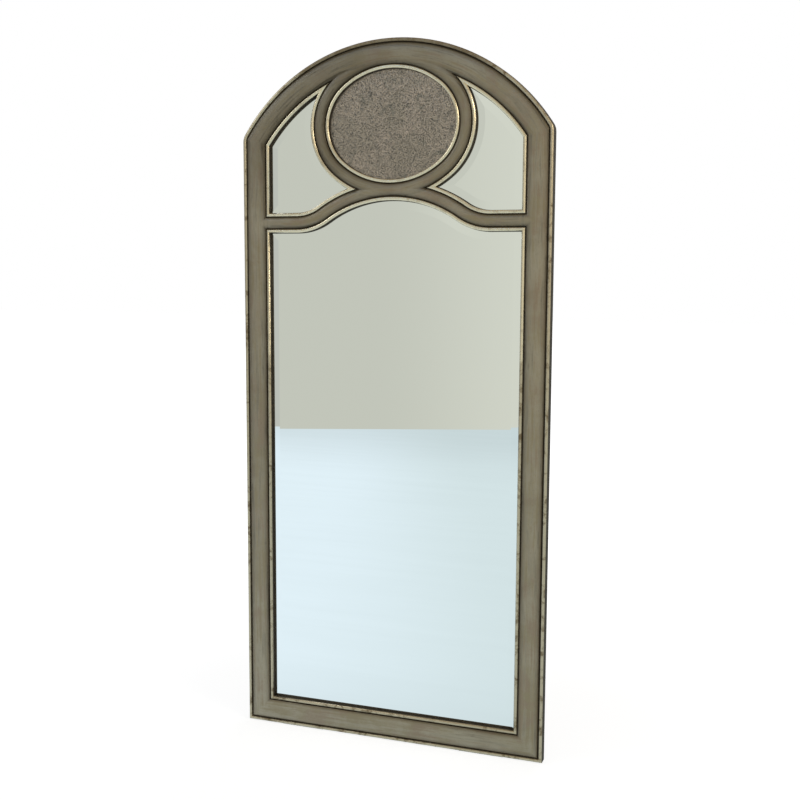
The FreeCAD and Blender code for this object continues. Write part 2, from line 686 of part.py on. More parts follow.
def ogee_bead(grow, end_x):
    """The right half of a bead that follows the ogee, out to end_x."""
    crown = run_round(bead_face, CROWN_CENTRE, OGEE_CROWN_RADIUS + grow,
                      QUARTER - OGEE_ANGLE, QUARTER)
    foot = run_round(bead_face, FOOT_CENTRE, OGEE_FOOT_RADIUS - grow,
                     -QUARTER - OGEE_ANGLE, -QUARTER)
    flat = run_across(bead_face, FLAT_Z + grow, FOOT_X, end_x)
    return [crown, foot, flat]


def right_outer_beads():
    """The bead strips on the frame's outside edge, right-hand ones and the bottom one."""
    half = BEAD_WIDTH / 2
    turn = SHOULDER_ROUND - half
    mid_stile = (HALF_WIDTH - half, FRAME_HEIGHT / 2)
    side = run_up(bead_face, mid_stile[0], BASE_Z, SHOULDER_CENTRE[1])
    side = trimmed(side, [BASE_MITRE + (mid_stile,)], MITRE_REACH)
    turned = run_round(bead_face, SHOULDER_CENTRE, turn, 0, SHOULDER_ANGLE)
    arch = run_round(bead_face, ARCH_CENTRE, ARCH_RADIUS - half, SHOULDER_ANGLE, QUARTER)
    lower_turn = trimmed(turned, [SHOULDER_LINE + (mid_stile,)], MITRE_REACH)
    upper_turn = trimmed(turned, [SHOULDER_LINE + (CENTRE,)], MITRE_REACH)
    mid_rail = (0, BASE_Z + half)
    bottom = run_across(bead_face, mid_rail[1], -HALF_WIDTH, HALF_WIDTH)
    cuts = [BASE_MITRE + (mid_rail,), mirrored(BASE_MITRE) + (mid_rail,)]
    bottom = trimmed(bottom, cuts, MITRE_REACH)
    return join([side, lower_turn]), bottom, join([upper_turn, arch])


def right_main_beads():
    """The bead strips round the main opening, right-hand ones and the bottom one."""
    half = BEAD_WIDTH / 2
    x = SIGHT_X + half
    z = BASE_Z + WIDE_BAND - half
    top_mitre = ((SIGHT_X, FLAT_Z), (SIGHT_X + BEAD_WIDTH, FLAT_Z + BEAD_WIDTH))
    side = run_up(bead_face, x, z - BEAD_WIDTH, FLAT_Z + 2 * BEAD_WIDTH)
    cuts = [BASE_MITRE + ((x, MEDALLION_Z),), top_mitre + ((x, FLAT_Z),)]
    side = trimmed(side, cuts, MITRE_REACH)
    bottom = run_across(bead_face, z, -x - BEAD_WIDTH, x + BEAD_WIDTH)
    cuts = [BASE_MITRE + ((0, z),), mirrored(BASE_MITRE) + ((0, z),)]
    bottom = trimmed(bottom, cuts, MITRE_REACH)
    crown, foot, flat = ogee_bead(half, x + BEAD_WIDTH)
    flat = trimmed(flat, [top_mitre + ((FOOT_X, FLAT_Z + half),)], TIP_REACH)
    return side, bottom, join([crown, foot, flat])


def right_spandrel_beads():
    """The four mitred bead strips round the right spandrel opening."""
    half = BEAD_WIDTH / 2
    outer = spandrel_corners(BEAD_WIDTH)
    mid = spandrel_corners(half)
    mitre = {name: (SIGHT[name], outer[name]) for name in SIGHT}
    x = SIGHT_X + half
    low = SIGHT["sill_corner"][1]
    side_point = (x, (low + SIGHT["shoulder"][1]) / 2)
    side = run_up(bead_face, x, low - BEAD_WIDTH, outer["shoulder"][1] + BEAD_WIDTH)
    side = trimmed(side, [mitre["sill_corner"] + (side_point,),
                          mitre["shoulder"] + (side_point,)], TIP_REACH)

    radius = ARCH_SIGHT_RADIUS + half
    start = angle_of(ARCH_CENTRE, mid["shoulder"]) - BEAD_WIDTH / radius
    end = angle_of(ARCH_CENTRE, outer["upper_tip"]) + BEAD_WIDTH / radius
    arch_point = polar(ARCH_CENTRE, radius, (start + end) / 2)
    arch = run_round(bead_face, ARCH_CENTRE, radius, start, end)
    arch = trimmed(arch, [mitre["shoulder"] + (arch_point,),
                          mitre["upper_tip"] + (arch_point,)], TIP_REACH)

    radius = MEDALLION_END_RADIUS + NARROW_BAND - half
    start = angle_of(END_CENTRE, outer["upper_tip"]) + BEAD_WIDTH / radius
    ring_end = run_round(bead_face, END_CENTRE, radius, -OVAL_ANGLE, start)
    ring_point = polar(END_CENTRE, radius, 0)
    ring_end = trimmed(ring_end, [mitre["upper_tip"] + (ring_point,)], TIP_REACH)
    radius = FLAT_RADIUS + NARROW_BAND - half
    end = angle_of(LOWER_CENTRE, outer["lower_tip"]) - BEAD_WIDTH / radius
    ring_flat = run_round(bead_face, LOWER_CENTRE, radius, end, -OVAL_ANGLE)
    ring_flat = trimmed(ring_flat, [mitre["lower_tip"] + (ring_point,)], TIP_REACH)

    radius = OGEE_CROWN_RADIUS + NARROW_BAND - half
    end = angle_of(CROWN_CENTRE, outer["lower_tip"]) + BEAD_WIDTH / radius
    crown = run_round(bead_face, CROWN_CENTRE, radius, QUARTER - OGEE_ANGLE, end)
    crown = trimmed(crown, [mitre["lower_tip"] + (mid["ogee_bend"],)], TIP_REACH)
    foot = run_round(bead_face, FOOT_CENTRE, OGEE_FOOT_RADIUS - NARROW_BAND + half,
                     -QUARTER - OGEE_ANGLE, -QUARTER)
    flat = run_across(bead_face, low - half, FOOT_X, x + BEAD_WIDTH)
    flat = trimmed(flat, [mitre["sill_corner"] + ((FOOT_X, low - half),)], TIP_REACH)
    return {
        "side": side,
        "arch": arch,
        "ring": join([ring_end, ring_flat]),
        "sill": join([crown, foot, flat]),
    }


def medallion_bead():
    """The bead round the medallion, one unbroken oval."""
    half = BEAD_WIDTH / 2
    end = MEDALLION_END_RADIUS + half
    flat = FLAT_RADIUS + half
    right = run_round(bead_face, END_CENTRE, end, -OVAL_ANGLE, OVAL_ANGLE)
    over = run_round(bead_face, UPPER_CENTRE, flat, OVAL_ANGLE, math.pi - OVAL_ANGLE)
    under = run_round(bead_face, LOWER_CENTRE, flat, -math.pi + OVAL_ANGLE, -OVAL_ANGLE)
    return join([right, over, flip(right), under])


def bead_nodes():
    """Every bead strip by its name."""
    nodes = {"medallion_bead": medallion_bead()}
    side, bottom, arch = right_outer_beads()
    nodes.update({"outer_bead_right": side, "outer_bead_left": flip(side),
                  "outer_bead_bottom": bottom,
                  "outer_bead_arch_right": arch, "outer_bead_arch_left": flip(arch)})
    side, bottom, top = right_main_beads()
    nodes.update({"main_bead_right": side, "main_bead_left": flip(side),
                  "main_bead_bottom": bottom,
                  "main_bead_ogee_right": top, "main_bead_ogee_left": flip(top)})
    for name, strip in right_spandrel_beads().items():
        nodes["spandrel_bead_%s_right" % name] = strip
        nodes["spandrel_bead_%s_left" % name] = flip(strip)
    return nodes


# Glass and what holds it

def bevelled_pane(outline):
    """A pane whose front edge is ground down in a wide, shallow bevel."""
    back = GLASS_FACE_DEPTH - GLASS_THICK
    pane = prism(outline(RABBET - PANE_CLEARANCE), back, GLASS_FACE_DEPTH)
    middle = BACK_Y - (back + GLASS_FACE_DEPTH) / 2
    front = [edge for edge in pane.Edges if edge.BoundBox.YMax < middle]
    return pane.makeChamfer(BEVEL_DROP, BEVEL_WIDTH, front)


def glass_nodes():
    """The four panes and the hardboard behind each."""
    grow = RABBET - PANE_CLEARANCE
    spandrel = bevelled_pane(spandrel_outline)
    back = GLASS_FACE_DEPTH - GLASS_THICK
    spandrel_backer = prism(spandrel_outline(grow), back - BACKER_THICK, back)
    oval_back = GLASS_FACE_DEPTH - MEDALLION_GLASS_THICK
    return {
        "main_mirror": bevelled_pane(main_outline),
        "spandrel_mirror_right": spandrel,
        "spandrel_mirror_left": flip(spandrel),
        "medallion_mirror": prism(medallion_outline(grow), oval_back, GLASS_FACE_DEPTH),
        "main_backer": prism(main_outline(grow), back - BACKER_THICK, back),
        "spandrel_backer_right": spandrel_backer,
        "spandrel_backer_left": flip(spandrel_backer),
        "medallion_backer": prism(medallion_outline(grow), oval_back - BACKER_THICK, oval_back),
    }


def block(x, z, size_x, size_z, front):
    """A glue block whose front face bears on a backer at this depth."""
    corner = at(x - size_x / 2, front, z - size_z / 2)
    return Part.makeBox(size_x, BLOCK_THICK, size_z, corner)


def glue_blocks():
    """The blocks glued into the rabbets, which press the backers on the panes."""
    front = GLASS_FACE_DEPTH - GLASS_THICK - BACKER_THICK
    away = RABBET - BLOCK_CLEARANCE - BLOCK_WIDTH / 2
    x = SIGHT_X + away
    low = BASE_Z + WIDE_BAND - away
    blocks = []
    for share in SIDE_BLOCK_SHARES:
        z = low + share * (FLAT_Z - low)
        blocks += [block(s * x, z, BLOCK_WIDTH, BLOCK_LENGTH, front) for s in (1, -1)]
    for share in BASE_BLOCK_SHARES:
        blocks.append(block(share * SIGHT_X, low, BLOCK_LENGTH, BLOCK_WIDTH, front))
    sill = SIGHT["sill_corner"][1]
    flat_x = (FOOT_X + SIGHT_X) / 2
    side_z = (sill + SIGHT["shoulder"][1]) / 2
    for s in (1, -1):
        blocks.append(block(s * flat_x, FLAT_Z + away, BLOCK_LENGTH, BLOCK_WIDTH, front))
        blocks.append(block(s * flat_x, sill - away, BLOCK_LENGTH, BLOCK_WIDTH, front))
        blocks.append(block(s * x, side_z, BLOCK_WIDTH, BLOCK_LENGTH, front))
    return blocks + medallion_blocks()


def medallion_blocks():
    """Four short blocks on the ends and the flats of the oval's rabbet."""
    front = GLASS_FACE_DEPTH - MEDALLION_GLASS_THICK - BACKER_THICK
    half = SHORT_BLOCK_LENGTH / 2
    blocks = []
    for radius, centre in ((MEDALLION_END_RADIUS, END_X), (FLAT_RADIUS, -FLAT_SHIFT)):
        wall = math.sqrt((radius + RABBET) ** 2 - half ** 2)
        middle = centre + wall - BLOCK_CLEARANCE - BLOCK_WIDTH / 2
        for s in (1, -1):
            if centre > 0:
                blocks.append(block(s * middle, MEDALLION_Z, BLOCK_WIDTH,
                                    SHORT_BLOCK_LENGTH, front))
            else:
                blocks.append(block(0, MEDALLION_Z + s * middle, SHORT_BLOCK_LENGTH,
                                    BLOCK_WIDTH, front))
    return blocks


# Back panel

def panel_screw_places():
    """Where the panel's screws stand, as x, z points."""
    inset = PANEL_INSET + PANEL_SCREW_INSET
    x = HALF_WIDTH - inset
    low = BASE_Z + inset
    points = [(s * x, low + share * (SHOULDER_OUT[1] - low))
              for share in SIDE_SCREW_SHARES for s in (1, -1)]
    points += [(share * x, low) for share in BASE_SCREW_SHARES]
    points += [polar(ARCH_CENTRE, ARCH_RADIUS - inset, math.radians(a)) for a in ARCH_SCREW_ANGLES]
    return points


def countersunk(point, spare):
    """A countersunk screw driven in from the back, or its hole with some to spare."""
    start = at(point[0], PANEL_BACK, point[1])
    aim = V(0, -1, 0)
    head = taper(start, aim, PANEL_SCREW_HEAD_HEIGHT, PANEL_SCREW_HEAD_RADIUS + spare,
                 PANEL_SCREW_RADIUS + spare)
    radius = PANEL_SCREW_RADIUS + spare
    shank = taper(start, aim, PANEL_SCREW_LENGTH + spare, radius, radius)
    return join([head, shank])


# Hangers

HANGER_X = HALF_WIDTH - PANEL_INSET / 2
HANGER_HEIGHT = BASE_Z + HANGER_SHARE * FRAME_HEIGHT
RING_AXIS_Y = BACK_Y + RING_AXIS_STANDOFF
LOOP_OUTER_RADIUS = RING_WIRE_RADIUS + LOOP_CLEARANCE + STRAP_THICK


def hanger_strap():
    """The right strap: a flat tail and the loop that the ring turns in."""
    tail = Part.makeBox(STRAP_WIDTH, STRAP_THICK, STRAP_LENGTH,
                        V(HANGER_X - STRAP_WIDTH / 2, BACK_Y, HANGER_HEIGHT - STRAP_LENGTH))
    start = V(HANGER_X - STRAP_WIDTH / 2, RING_AXIS_Y, HANGER_HEIGHT)
    loop = Part.makeCylinder(LOOP_OUTER_RADIUS, STRAP_WIDTH, start, V(1, 0, 0))
    bore = Part.makeCylinder(RING_WIRE_RADIUS + LOOP_CLEARANCE, STRAP_WIDTH, start, V(1, 0, 0))
    strap = join([tail, loop]).cut(bore)
    return strap.cut([hanger_screw(z, STRAP_HOLE_CLEARANCE) for z in hanger_screw_heights()])


def hanger_screw_heights():
    """The heights of the two screws in a strap."""
    first = HANGER_HEIGHT - HANGER_SCREW_FIRST
    return [first, first - HANGER_SCREW_PITCH]


def hanger_screw(z, spare=0):
    """The right strap's screw at a height; with some to spare it is only the shank's hole."""
    seat = V(HANGER_X, BACK_Y + STRAP_THICK, z)
    length = HANGER_SCREW_LENGTH + STRAP_THICK
    radius = HANGER_SCREW_RADIUS + spare
    shank = taper(seat, V(0, -1, 0), length, radius, radius)
    if spare:
        return shank
    edge = taper(seat, V(0, 1, 0), HANGER_SCREW_EDGE, HANGER_SCREW_HEAD_RADIUS,
                 HANGER_SCREW_HEAD_RADIUS)
    shoulder = seat + V(0, HANGER_SCREW_EDGE, 0)
    top = taper(shoulder, V(0, 1, 0), HANGER_SCREW_HEAD_HEIGHT - HANGER_SCREW_EDGE,
                HANGER_SCREW_HEAD_RADIUS, HANGER_SCREW_TOP_RADIUS)
    return join([top, edge, shank])


def hanger_ring():
    """The right ring, bent from wire in short straight runs, hanging from its straight bar."""
    bar = RING_HALF_WIDTH - RING_CORNER_RADIUS
    leg = HANGER_HEIGHT - RING_CORNER_RADIUS - RING_LEG
    middle = (HANGER_X, leg)
    bow = [polar(middle, RING_HALF_WIDTH, -math.pi * i / RING_RUNS) for i in range(RING_RUNS + 1)]
    route = [(HANGER_X - bar, HANGER_HEIGHT), (HANGER_X + bar, HANGER_HEIGHT),
             (HANGER_X + RING_HALF_WIDTH, HANGER_HEIGHT - RING_CORNER_RADIUS)]
    route += bow + [(HANGER_X - RING_HALF_WIDTH, HANGER_HEIGHT - RING_CORNER_RADIUS)]
    path = Part.makePolygon([V(x, RING_AXIS_Y, z) for x, z in route + route[:1]])
    corners = []
    for i in range(ROD_SIDES + 1):
        angle = math.tau * i / ROD_SIDES
        corners.append(V(HANGER_X, RING_AXIS_Y + RING_WIRE_RADIUS * math.cos(angle),
                         HANGER_HEIGHT + RING_WIRE_RADIUS * math.sin(angle)))
    return path.makePipeShell([Part.makePolygon(corners)], True, False, 1)


# What touches the wall and the floor

def bumper_places():
    """The four bumpers' centres as x, z points."""
    arch = polar(ARCH_CENTRE, ARCH_RADIUS - PANEL_INSET / 2, math.radians(BUMPER_ARCH_ANGLE))
    base = (HANGER_X, BASE_Z + BUMPER_LOW_HEIGHT)
    return [arch, base] + list(mirrored([arch, base]))


def bumpers():
    """Felt discs on the back of the frame."""
    return [Part.makeCylinder(BUMPER_RADIUS, BUMPER_THICK, at(x, 0, z), V(0, 1, 0))
            for x, z in bumper_places()]


def floor_pads():
    """The two rubber strips let into the bottom rail."""
    far = HALF_WIDTH - PAD_INSET
    front = (PLATE_DEPTH + PAD_DEPTH) / 2
    right = Part.makeBox(PAD_LENGTH, PAD_DEPTH, PAD_THICK, at(far - PAD_LENGTH, front, 0))
    return [right, flip(right)]


def build():
    """Every node's shape by its name."""
    holes = dowel_holes() + mitre_splines(SPLINE_CLEARANCE) + floor_pads()
    holes += [countersunk(p, SCREW_CLEARANCE) for p in panel_screw_places()]
    pilot = [hanger_screw(z, SCREW_CLEARANCE) for z in hanger_screw_heights()]
    holes += pilot + [flip(hole) for hole in pilot]
    nodes = frame_members(holes)
    nodes.update(bead_nodes())
    nodes.update(glass_nodes())
    panel = prism(outer_outline(PANEL_INSET + PANEL_CLEARANCE), PANEL_BACK, PANEL_SINK)
    nodes["back_panel"] = panel.cut([countersunk(p, SCREW_CLEARANCE)
                                     for p in panel_screw_places()])
    strap = hanger_strap()
    ring = hanger_ring()
    nodes.update({"hanger_strap_right": strap, "hanger_strap_left": flip(strap),
                  "hanger_ring_right": ring, "hanger_ring_left": flip(ring)})
    screws = [hanger_screw(z) for z in hanger_screw_heights()]
    nodes["frame_dowels"] = Part.makeCompound(dowels())
    nodes["mitre_splines"] = Part.makeCompound(mitre_splines(0))
    nodes["glue_blocks"] = Part.makeCompound(glue_blocks())
    nodes["panel_screws"] = Part.makeCompound([countersunk(p, 0) for p in panel_screw_places()])
    nodes["hanger_screws"] = Part.makeCompound(screws + [flip(s) for s in screws])
    nodes["wall_bumpers"] = Part.makeCompound(bumpers())
    nodes["floor_pads"] = Part.makeCompound(floor_pads())
    return nodes


if __name__ == "__main__":
    os.makedirs("parts", exist_ok=True)
    for node, shape in build().items():
        shape.exportStep("parts/%s.step" % node)
        print(node, len(shape.Solids), round(shape.Volume), shape.isValid())
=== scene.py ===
"""Finishes for an arched floor mirror and the studio that it stands in."""

import json
import math

import bmesh
import bpy
from bpy.props import FloatProperty, FloatVectorProperty, IntProperty, PointerProperty
from mathutils import Matrix, Vector
from mathutils.bvhtree import BVHTree

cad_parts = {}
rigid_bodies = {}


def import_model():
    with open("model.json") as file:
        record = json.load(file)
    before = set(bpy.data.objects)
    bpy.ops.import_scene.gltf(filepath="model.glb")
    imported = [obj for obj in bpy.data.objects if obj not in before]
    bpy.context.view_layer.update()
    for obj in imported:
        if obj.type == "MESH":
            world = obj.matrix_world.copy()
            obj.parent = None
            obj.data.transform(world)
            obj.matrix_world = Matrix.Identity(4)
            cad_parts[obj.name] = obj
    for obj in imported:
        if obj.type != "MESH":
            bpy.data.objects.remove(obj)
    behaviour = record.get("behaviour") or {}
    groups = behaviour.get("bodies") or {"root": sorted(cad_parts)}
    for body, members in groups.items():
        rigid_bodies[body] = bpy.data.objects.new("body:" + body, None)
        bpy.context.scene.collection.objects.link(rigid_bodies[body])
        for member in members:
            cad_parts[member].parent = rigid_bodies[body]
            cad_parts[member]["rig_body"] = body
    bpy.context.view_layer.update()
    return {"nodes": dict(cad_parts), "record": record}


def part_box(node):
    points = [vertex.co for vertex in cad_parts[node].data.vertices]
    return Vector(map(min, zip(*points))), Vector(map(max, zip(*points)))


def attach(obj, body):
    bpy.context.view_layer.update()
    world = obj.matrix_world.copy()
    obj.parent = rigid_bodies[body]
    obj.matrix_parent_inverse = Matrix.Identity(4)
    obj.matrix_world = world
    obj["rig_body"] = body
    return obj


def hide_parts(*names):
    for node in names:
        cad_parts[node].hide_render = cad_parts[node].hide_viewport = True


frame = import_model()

bl_info = {
    "name": "Arched Floor Mirror",
    "version": (1, 0, 0),
    "blender": (4, 5, 0),
    "location": "3D View > Sidebar > Floor Mirror",
    "description": "Leaf, glass and fittings of an arched floor mirror",
    "category": "Object",
}

SIDES = ("left", "right")

# Lines of the frame that its finish follows
HALF_WIDTH = 0.4875
SIGHT_X = 0.3985            # inner edge of the stiles
ARCH_CENTRE_Z = 1.5665
ARCH_RADIUS = 0.573
ARCH_SIGHT_RADIUS = 0.484
SHOULDER_Z = 1.8412         # where the mitre between stile and arch meets the sight edge
SHOULDER_SLOPE = 0.297
OVAL_HALF_WIDTH = 0.199
OVAL_HALF_HEIGHT = 0.160
OVAL_Z = 1.8925
OGEE_RISE = 0.0935
OGEE_HALF_WIDTH = 0.3063

# Heights of the mouldings towards the front, each a pair from foot to top
CHANNEL_HEIGHTS = (0.0150, 0.0185)
CROWN_HEIGHTS = (0.0187, 0.0217)
BEAD_HEIGHTS = (0.0147, 0.0174)

# Where a finish changes towards the outline, by half width, radius of the arch and height
AT_EDGE = ((HALF_WIDTH - 0.005, HALF_WIDTH - 0.001), (ARCH_RADIUS - 0.005, ARCH_RADIUS - 0.001),
           (0.001, 0.005))
AT_OUTER_BEAD = ((0.455, 0.462), (0.540, 0.548), (0.022, 0.030))

# Streaks of the brush to a metre, and a place that gives the base streaks of its own
STREAKS_ACROSS = 105.0
STREAKS_ALONG = 6.0
BASE_PLACE = 5.3


# Sizes and colours

def length(name, description, default, **limits):
    """A length in metres that a user may change."""
    return FloatProperty(name=name, description=description, default=default, unit="LENGTH",
                         precision=4, **limits)


def colour(name, description, default):
    """A colour that a user may change."""
    return FloatVectorProperty(name=name, description=description, default=default, size=3,
                               subtype="COLOR", min=0.0, max=1.0)


def angle(name, description, degrees):
    """An angle that a user may change."""
    return FloatProperty(name=name, description=description, default=math.radians(degrees),
                         unit="ROTATION", subtype="ANGLE", precision=4)


class LeafSettings(bpy.types.PropertyGroup):
    """Colours of the leafed frame and its beads."""

    pewter: colour("Pewter", "Leaf on the crowned faces", (0.350, 0.282, 0.170))
    pewter_pale: colour("Pale pewter", "Clouded patches of the leaf", (0.455, 0.390, 0.278))
    pewter_rose: colour("Warm pewter", "Browner patches of the leaf", (0.350, 0.260, 0.176))
    # The glaze colour is also the colour of the painted shade on the frame
    glaze: colour("Glaze", "Brown glaze over the leaf", (0.095, 0.072, 0.036))
    ground: colour("Ground", "Glaze left in the channels", (0.030, 0.022, 0.013))
    side: colour("Side", "Outer edge of the frame", (0.034, 0.025, 0.015))
    stain: colour("Stain", "Dark stain on the back of the frame", (0.050, 0.034, 0.021))
    stain_grain: colour("Stained grain", "Grain seen through the stain", (0.105, 0.072, 0.044))
    champagne: colour("Champagne", "Leaf on the crest of the beads", (0.80, 0.695, 0.490))
    # Also the colour of the painted shade on the outer bead over the top of the arch
    champagne_worn_and_shaded: colour("Worn champagne", "Rubbed spots on the beads", (0.235, 0.170, 0.090))
    smoothing: angle("Smoothing", "Edges flatter than this are shaded round", 48.0)
    arris: length("Arris", "How far the sharp edges of the members are eased", 0.0006)
    bead_ease: length("Bead easing", "How far the flats of a bead are rounded together", 0.0012)


class GlassSettings(bpy.types.PropertyGroup):
    """Colours of the mirror panes."""

    silver: colour("Silver", "Tint of the clear silvering", (0.955, 0.97, 0.955))
    glass_edge: colour("Glass edge", "Colour of the ground edge", (0.20, 0.34, 0.29))
    aged: colour("Aged silver", "Silvering of the antiqued disc", (0.47, 0.395, 0.320))
    aged_rose: colour("Rose cloud", "Warm clouds in the disc", (0.57, 0.465, 0.380))
    aged_pale: colour("Pale flecks", "Bright flecks between the strokes", (0.72, 0.62, 0.52))
    aged_green: colour("Green stain", "Grey-green stains in the disc", (0.165, 0.170, 0.140))
    aged_dark: colour("Dark strokes", "Strokes in the disc", (0.050, 0.045, 0.033))
    paint: colour("Back paint", "Paint behind the silvering", (0.10, 0.11, 0.12))


class BackSettings(bpy.types.PropertyGroup):
    """Sizes and colours of what is behind the glass."""

    board: colour("Board", "Hardboard of the back", (0.30, 0.20, 0.125))
    board_fibre: colour("Board fibre", "Pale fibres in the hardboard", (0.45, 0.33, 0.22))
    timber: colour("Timber", "Blocks, dowels and tongues", (0.62, 0.46, 0.29))
    timber_late: colour("Late wood", "Dark lines of the grain", (0.42, 0.28, 0.16))
    zinc: colour("Zinc", "Plated steel of straps, rings and screws", (0.70, 0.71, 0.70))
    felt: colour("Felt", "Wall bumpers", (0.24, 0.225, 0.20))
    rubber: colour("Rubber", "Floor pads", (0.035, 0.035, 0.037))
    round_sides: IntProperty(name="Round sides", description="Facets round wire and screws",
                             default=24, min=8, max=48)
    recess: length("Recess", "Depth of the cross in a screw head", 0.0011)
    blade: length("Blade", "Width of each arm of the cross", 0.0008)
    sheet_ease: length("Sheet easing", "How far the edges of the straps are eased", 0.00025)
    pad_ease: length("Pad easing", "How far the edges of the floor pads are eased", 0.0006)


class StudioSettings(bpy.types.PropertyGroup):
    """The room, its lamps and the camera."""

    wall_distance: length("Wall distance",
                          "From the eye, by way of the mirror, to the wall that it shows", 10.33)
    eye: FloatVectorProperty(name="Eye", description="Where the camera stands",
                             default=(1.1661, -3.1717, 1.4612), size=3, unit="LENGTH",
                             subtype="TRANSLATION")
    turn: angle("Turn", "How far the camera looks to the left", 19.7688)
    tilt: angle("Tilt", "How far the camera looks down", 6.5601)
    lean: angle("Lean", "How far the camera leans", -0.2596)
    lens: FloatProperty(name="Lens", description="Focal length in millimetres on a 36 mm sensor",
                        default=50.33)
    wall: colour("Wall", "The wall as the mirror shows it", (0.60, 0.615, 0.545))
    floor: colour("Floor", "The floor as the mirror shows it", (0.80, 0.92, 0.995))
    floor_right: colour("Floor to the right", "The same, farther to the right", (0.69, 0.80, 0.83))
    window: colour("Window", "The bright side of the room, to the right", (0.84, 0.80, 0.69))
    ceiling: colour("Ceiling", "The room above as the leaf shows it", (0.42, 0.385, 0.32))
    dim: colour("Dim side", "The dark side of the room, to the left", (0.38, 0.39, 0.41))
    sheen: colour("Sheen", "Skylight that the crown of the arch catches", (0.34, 0.60, 1.00))
    brightness: FloatProperty(name="Brightness", description="Strength of the bright side",
                              default=1.0, min=0.0)
    ambient: FloatProperty(name="Ambient", description="Strength of the light from all round",
                           default=0.32, min=0.0)
    lamp: FloatProperty(name="Lamps", description="Strength of the soft lamps", default=1.0,
                        min=0.0)


GROUPS = (LeafSettings, GlassSettings, BackSettings, StudioSettings)
PLACES = ("mirror_leaf", "mirror_glass", "mirror_back", "mirror_studio")


def settings(place):
    """One of the scene's groups of settings."""
    return getattr(bpy.context.scene, place)


# Materials

class Sock:
    """A socket of a shader tree, with sums written as Python."""

    def __init__(self, tree, socket):
        self.tree = tree
        self.socket = socket

    def math(self, operation, *values, clamp=False):
        """The result of a math node."""
        node = self.tree.nodes.new("ShaderNodeMath")
        node.operation = operation
        node.use_clamp = clamp
        for i, value in enumerate(values):
            put(self.tree, node.inputs[i], value)
        return Sock(self.tree, node.outputs[0])

    def __add__(self, other):
        return self.math("ADD", self, other)

    def __radd__(self, other):
        return self.math("ADD", other, self)

    def __sub__(self, other):
        return self.math("SUBTRACT", self, other)

    def __rsub__(self, other):
        return self.math("SUBTRACT", other, self)

    def __mul__(self, other):
        return self.math("MULTIPLY", self, other)

    def __rmul__(self, other):
        return self.math("MULTIPLY", other, self)

    def __truediv__(self, other):
        return self.math("DIVIDE", self, other)

    def __pow__(self, other):
        return self.math("POWER", self, other)

    def clamped(self):
        """The value, kept between 0 and 1."""
        return self.math("ADD", self, 0.0, clamp=True)

    def biggest(self, other):
        return self.math("MAXIMUM", self, other)

    def smallest(self, other):
        return self.math("MINIMUM", self, other)

    def cosine(self):
        return self.math("COSINE", self)

    def size(self):
        """The value without its sign."""
        return self.math("ABSOLUTE", self)


def put(tree, socket, value):
    """Links a Sock to a socket, or sets the socket's own value."""
    if isinstance(value, Sock):
        tree.links.new(value.socket, socket)
    elif hasattr(value, "__len__") and len(value) == 3 and socket.type == "RGBA":
        socket.default_value = (*value, 1.0)
    else:
        socket.default_value = value


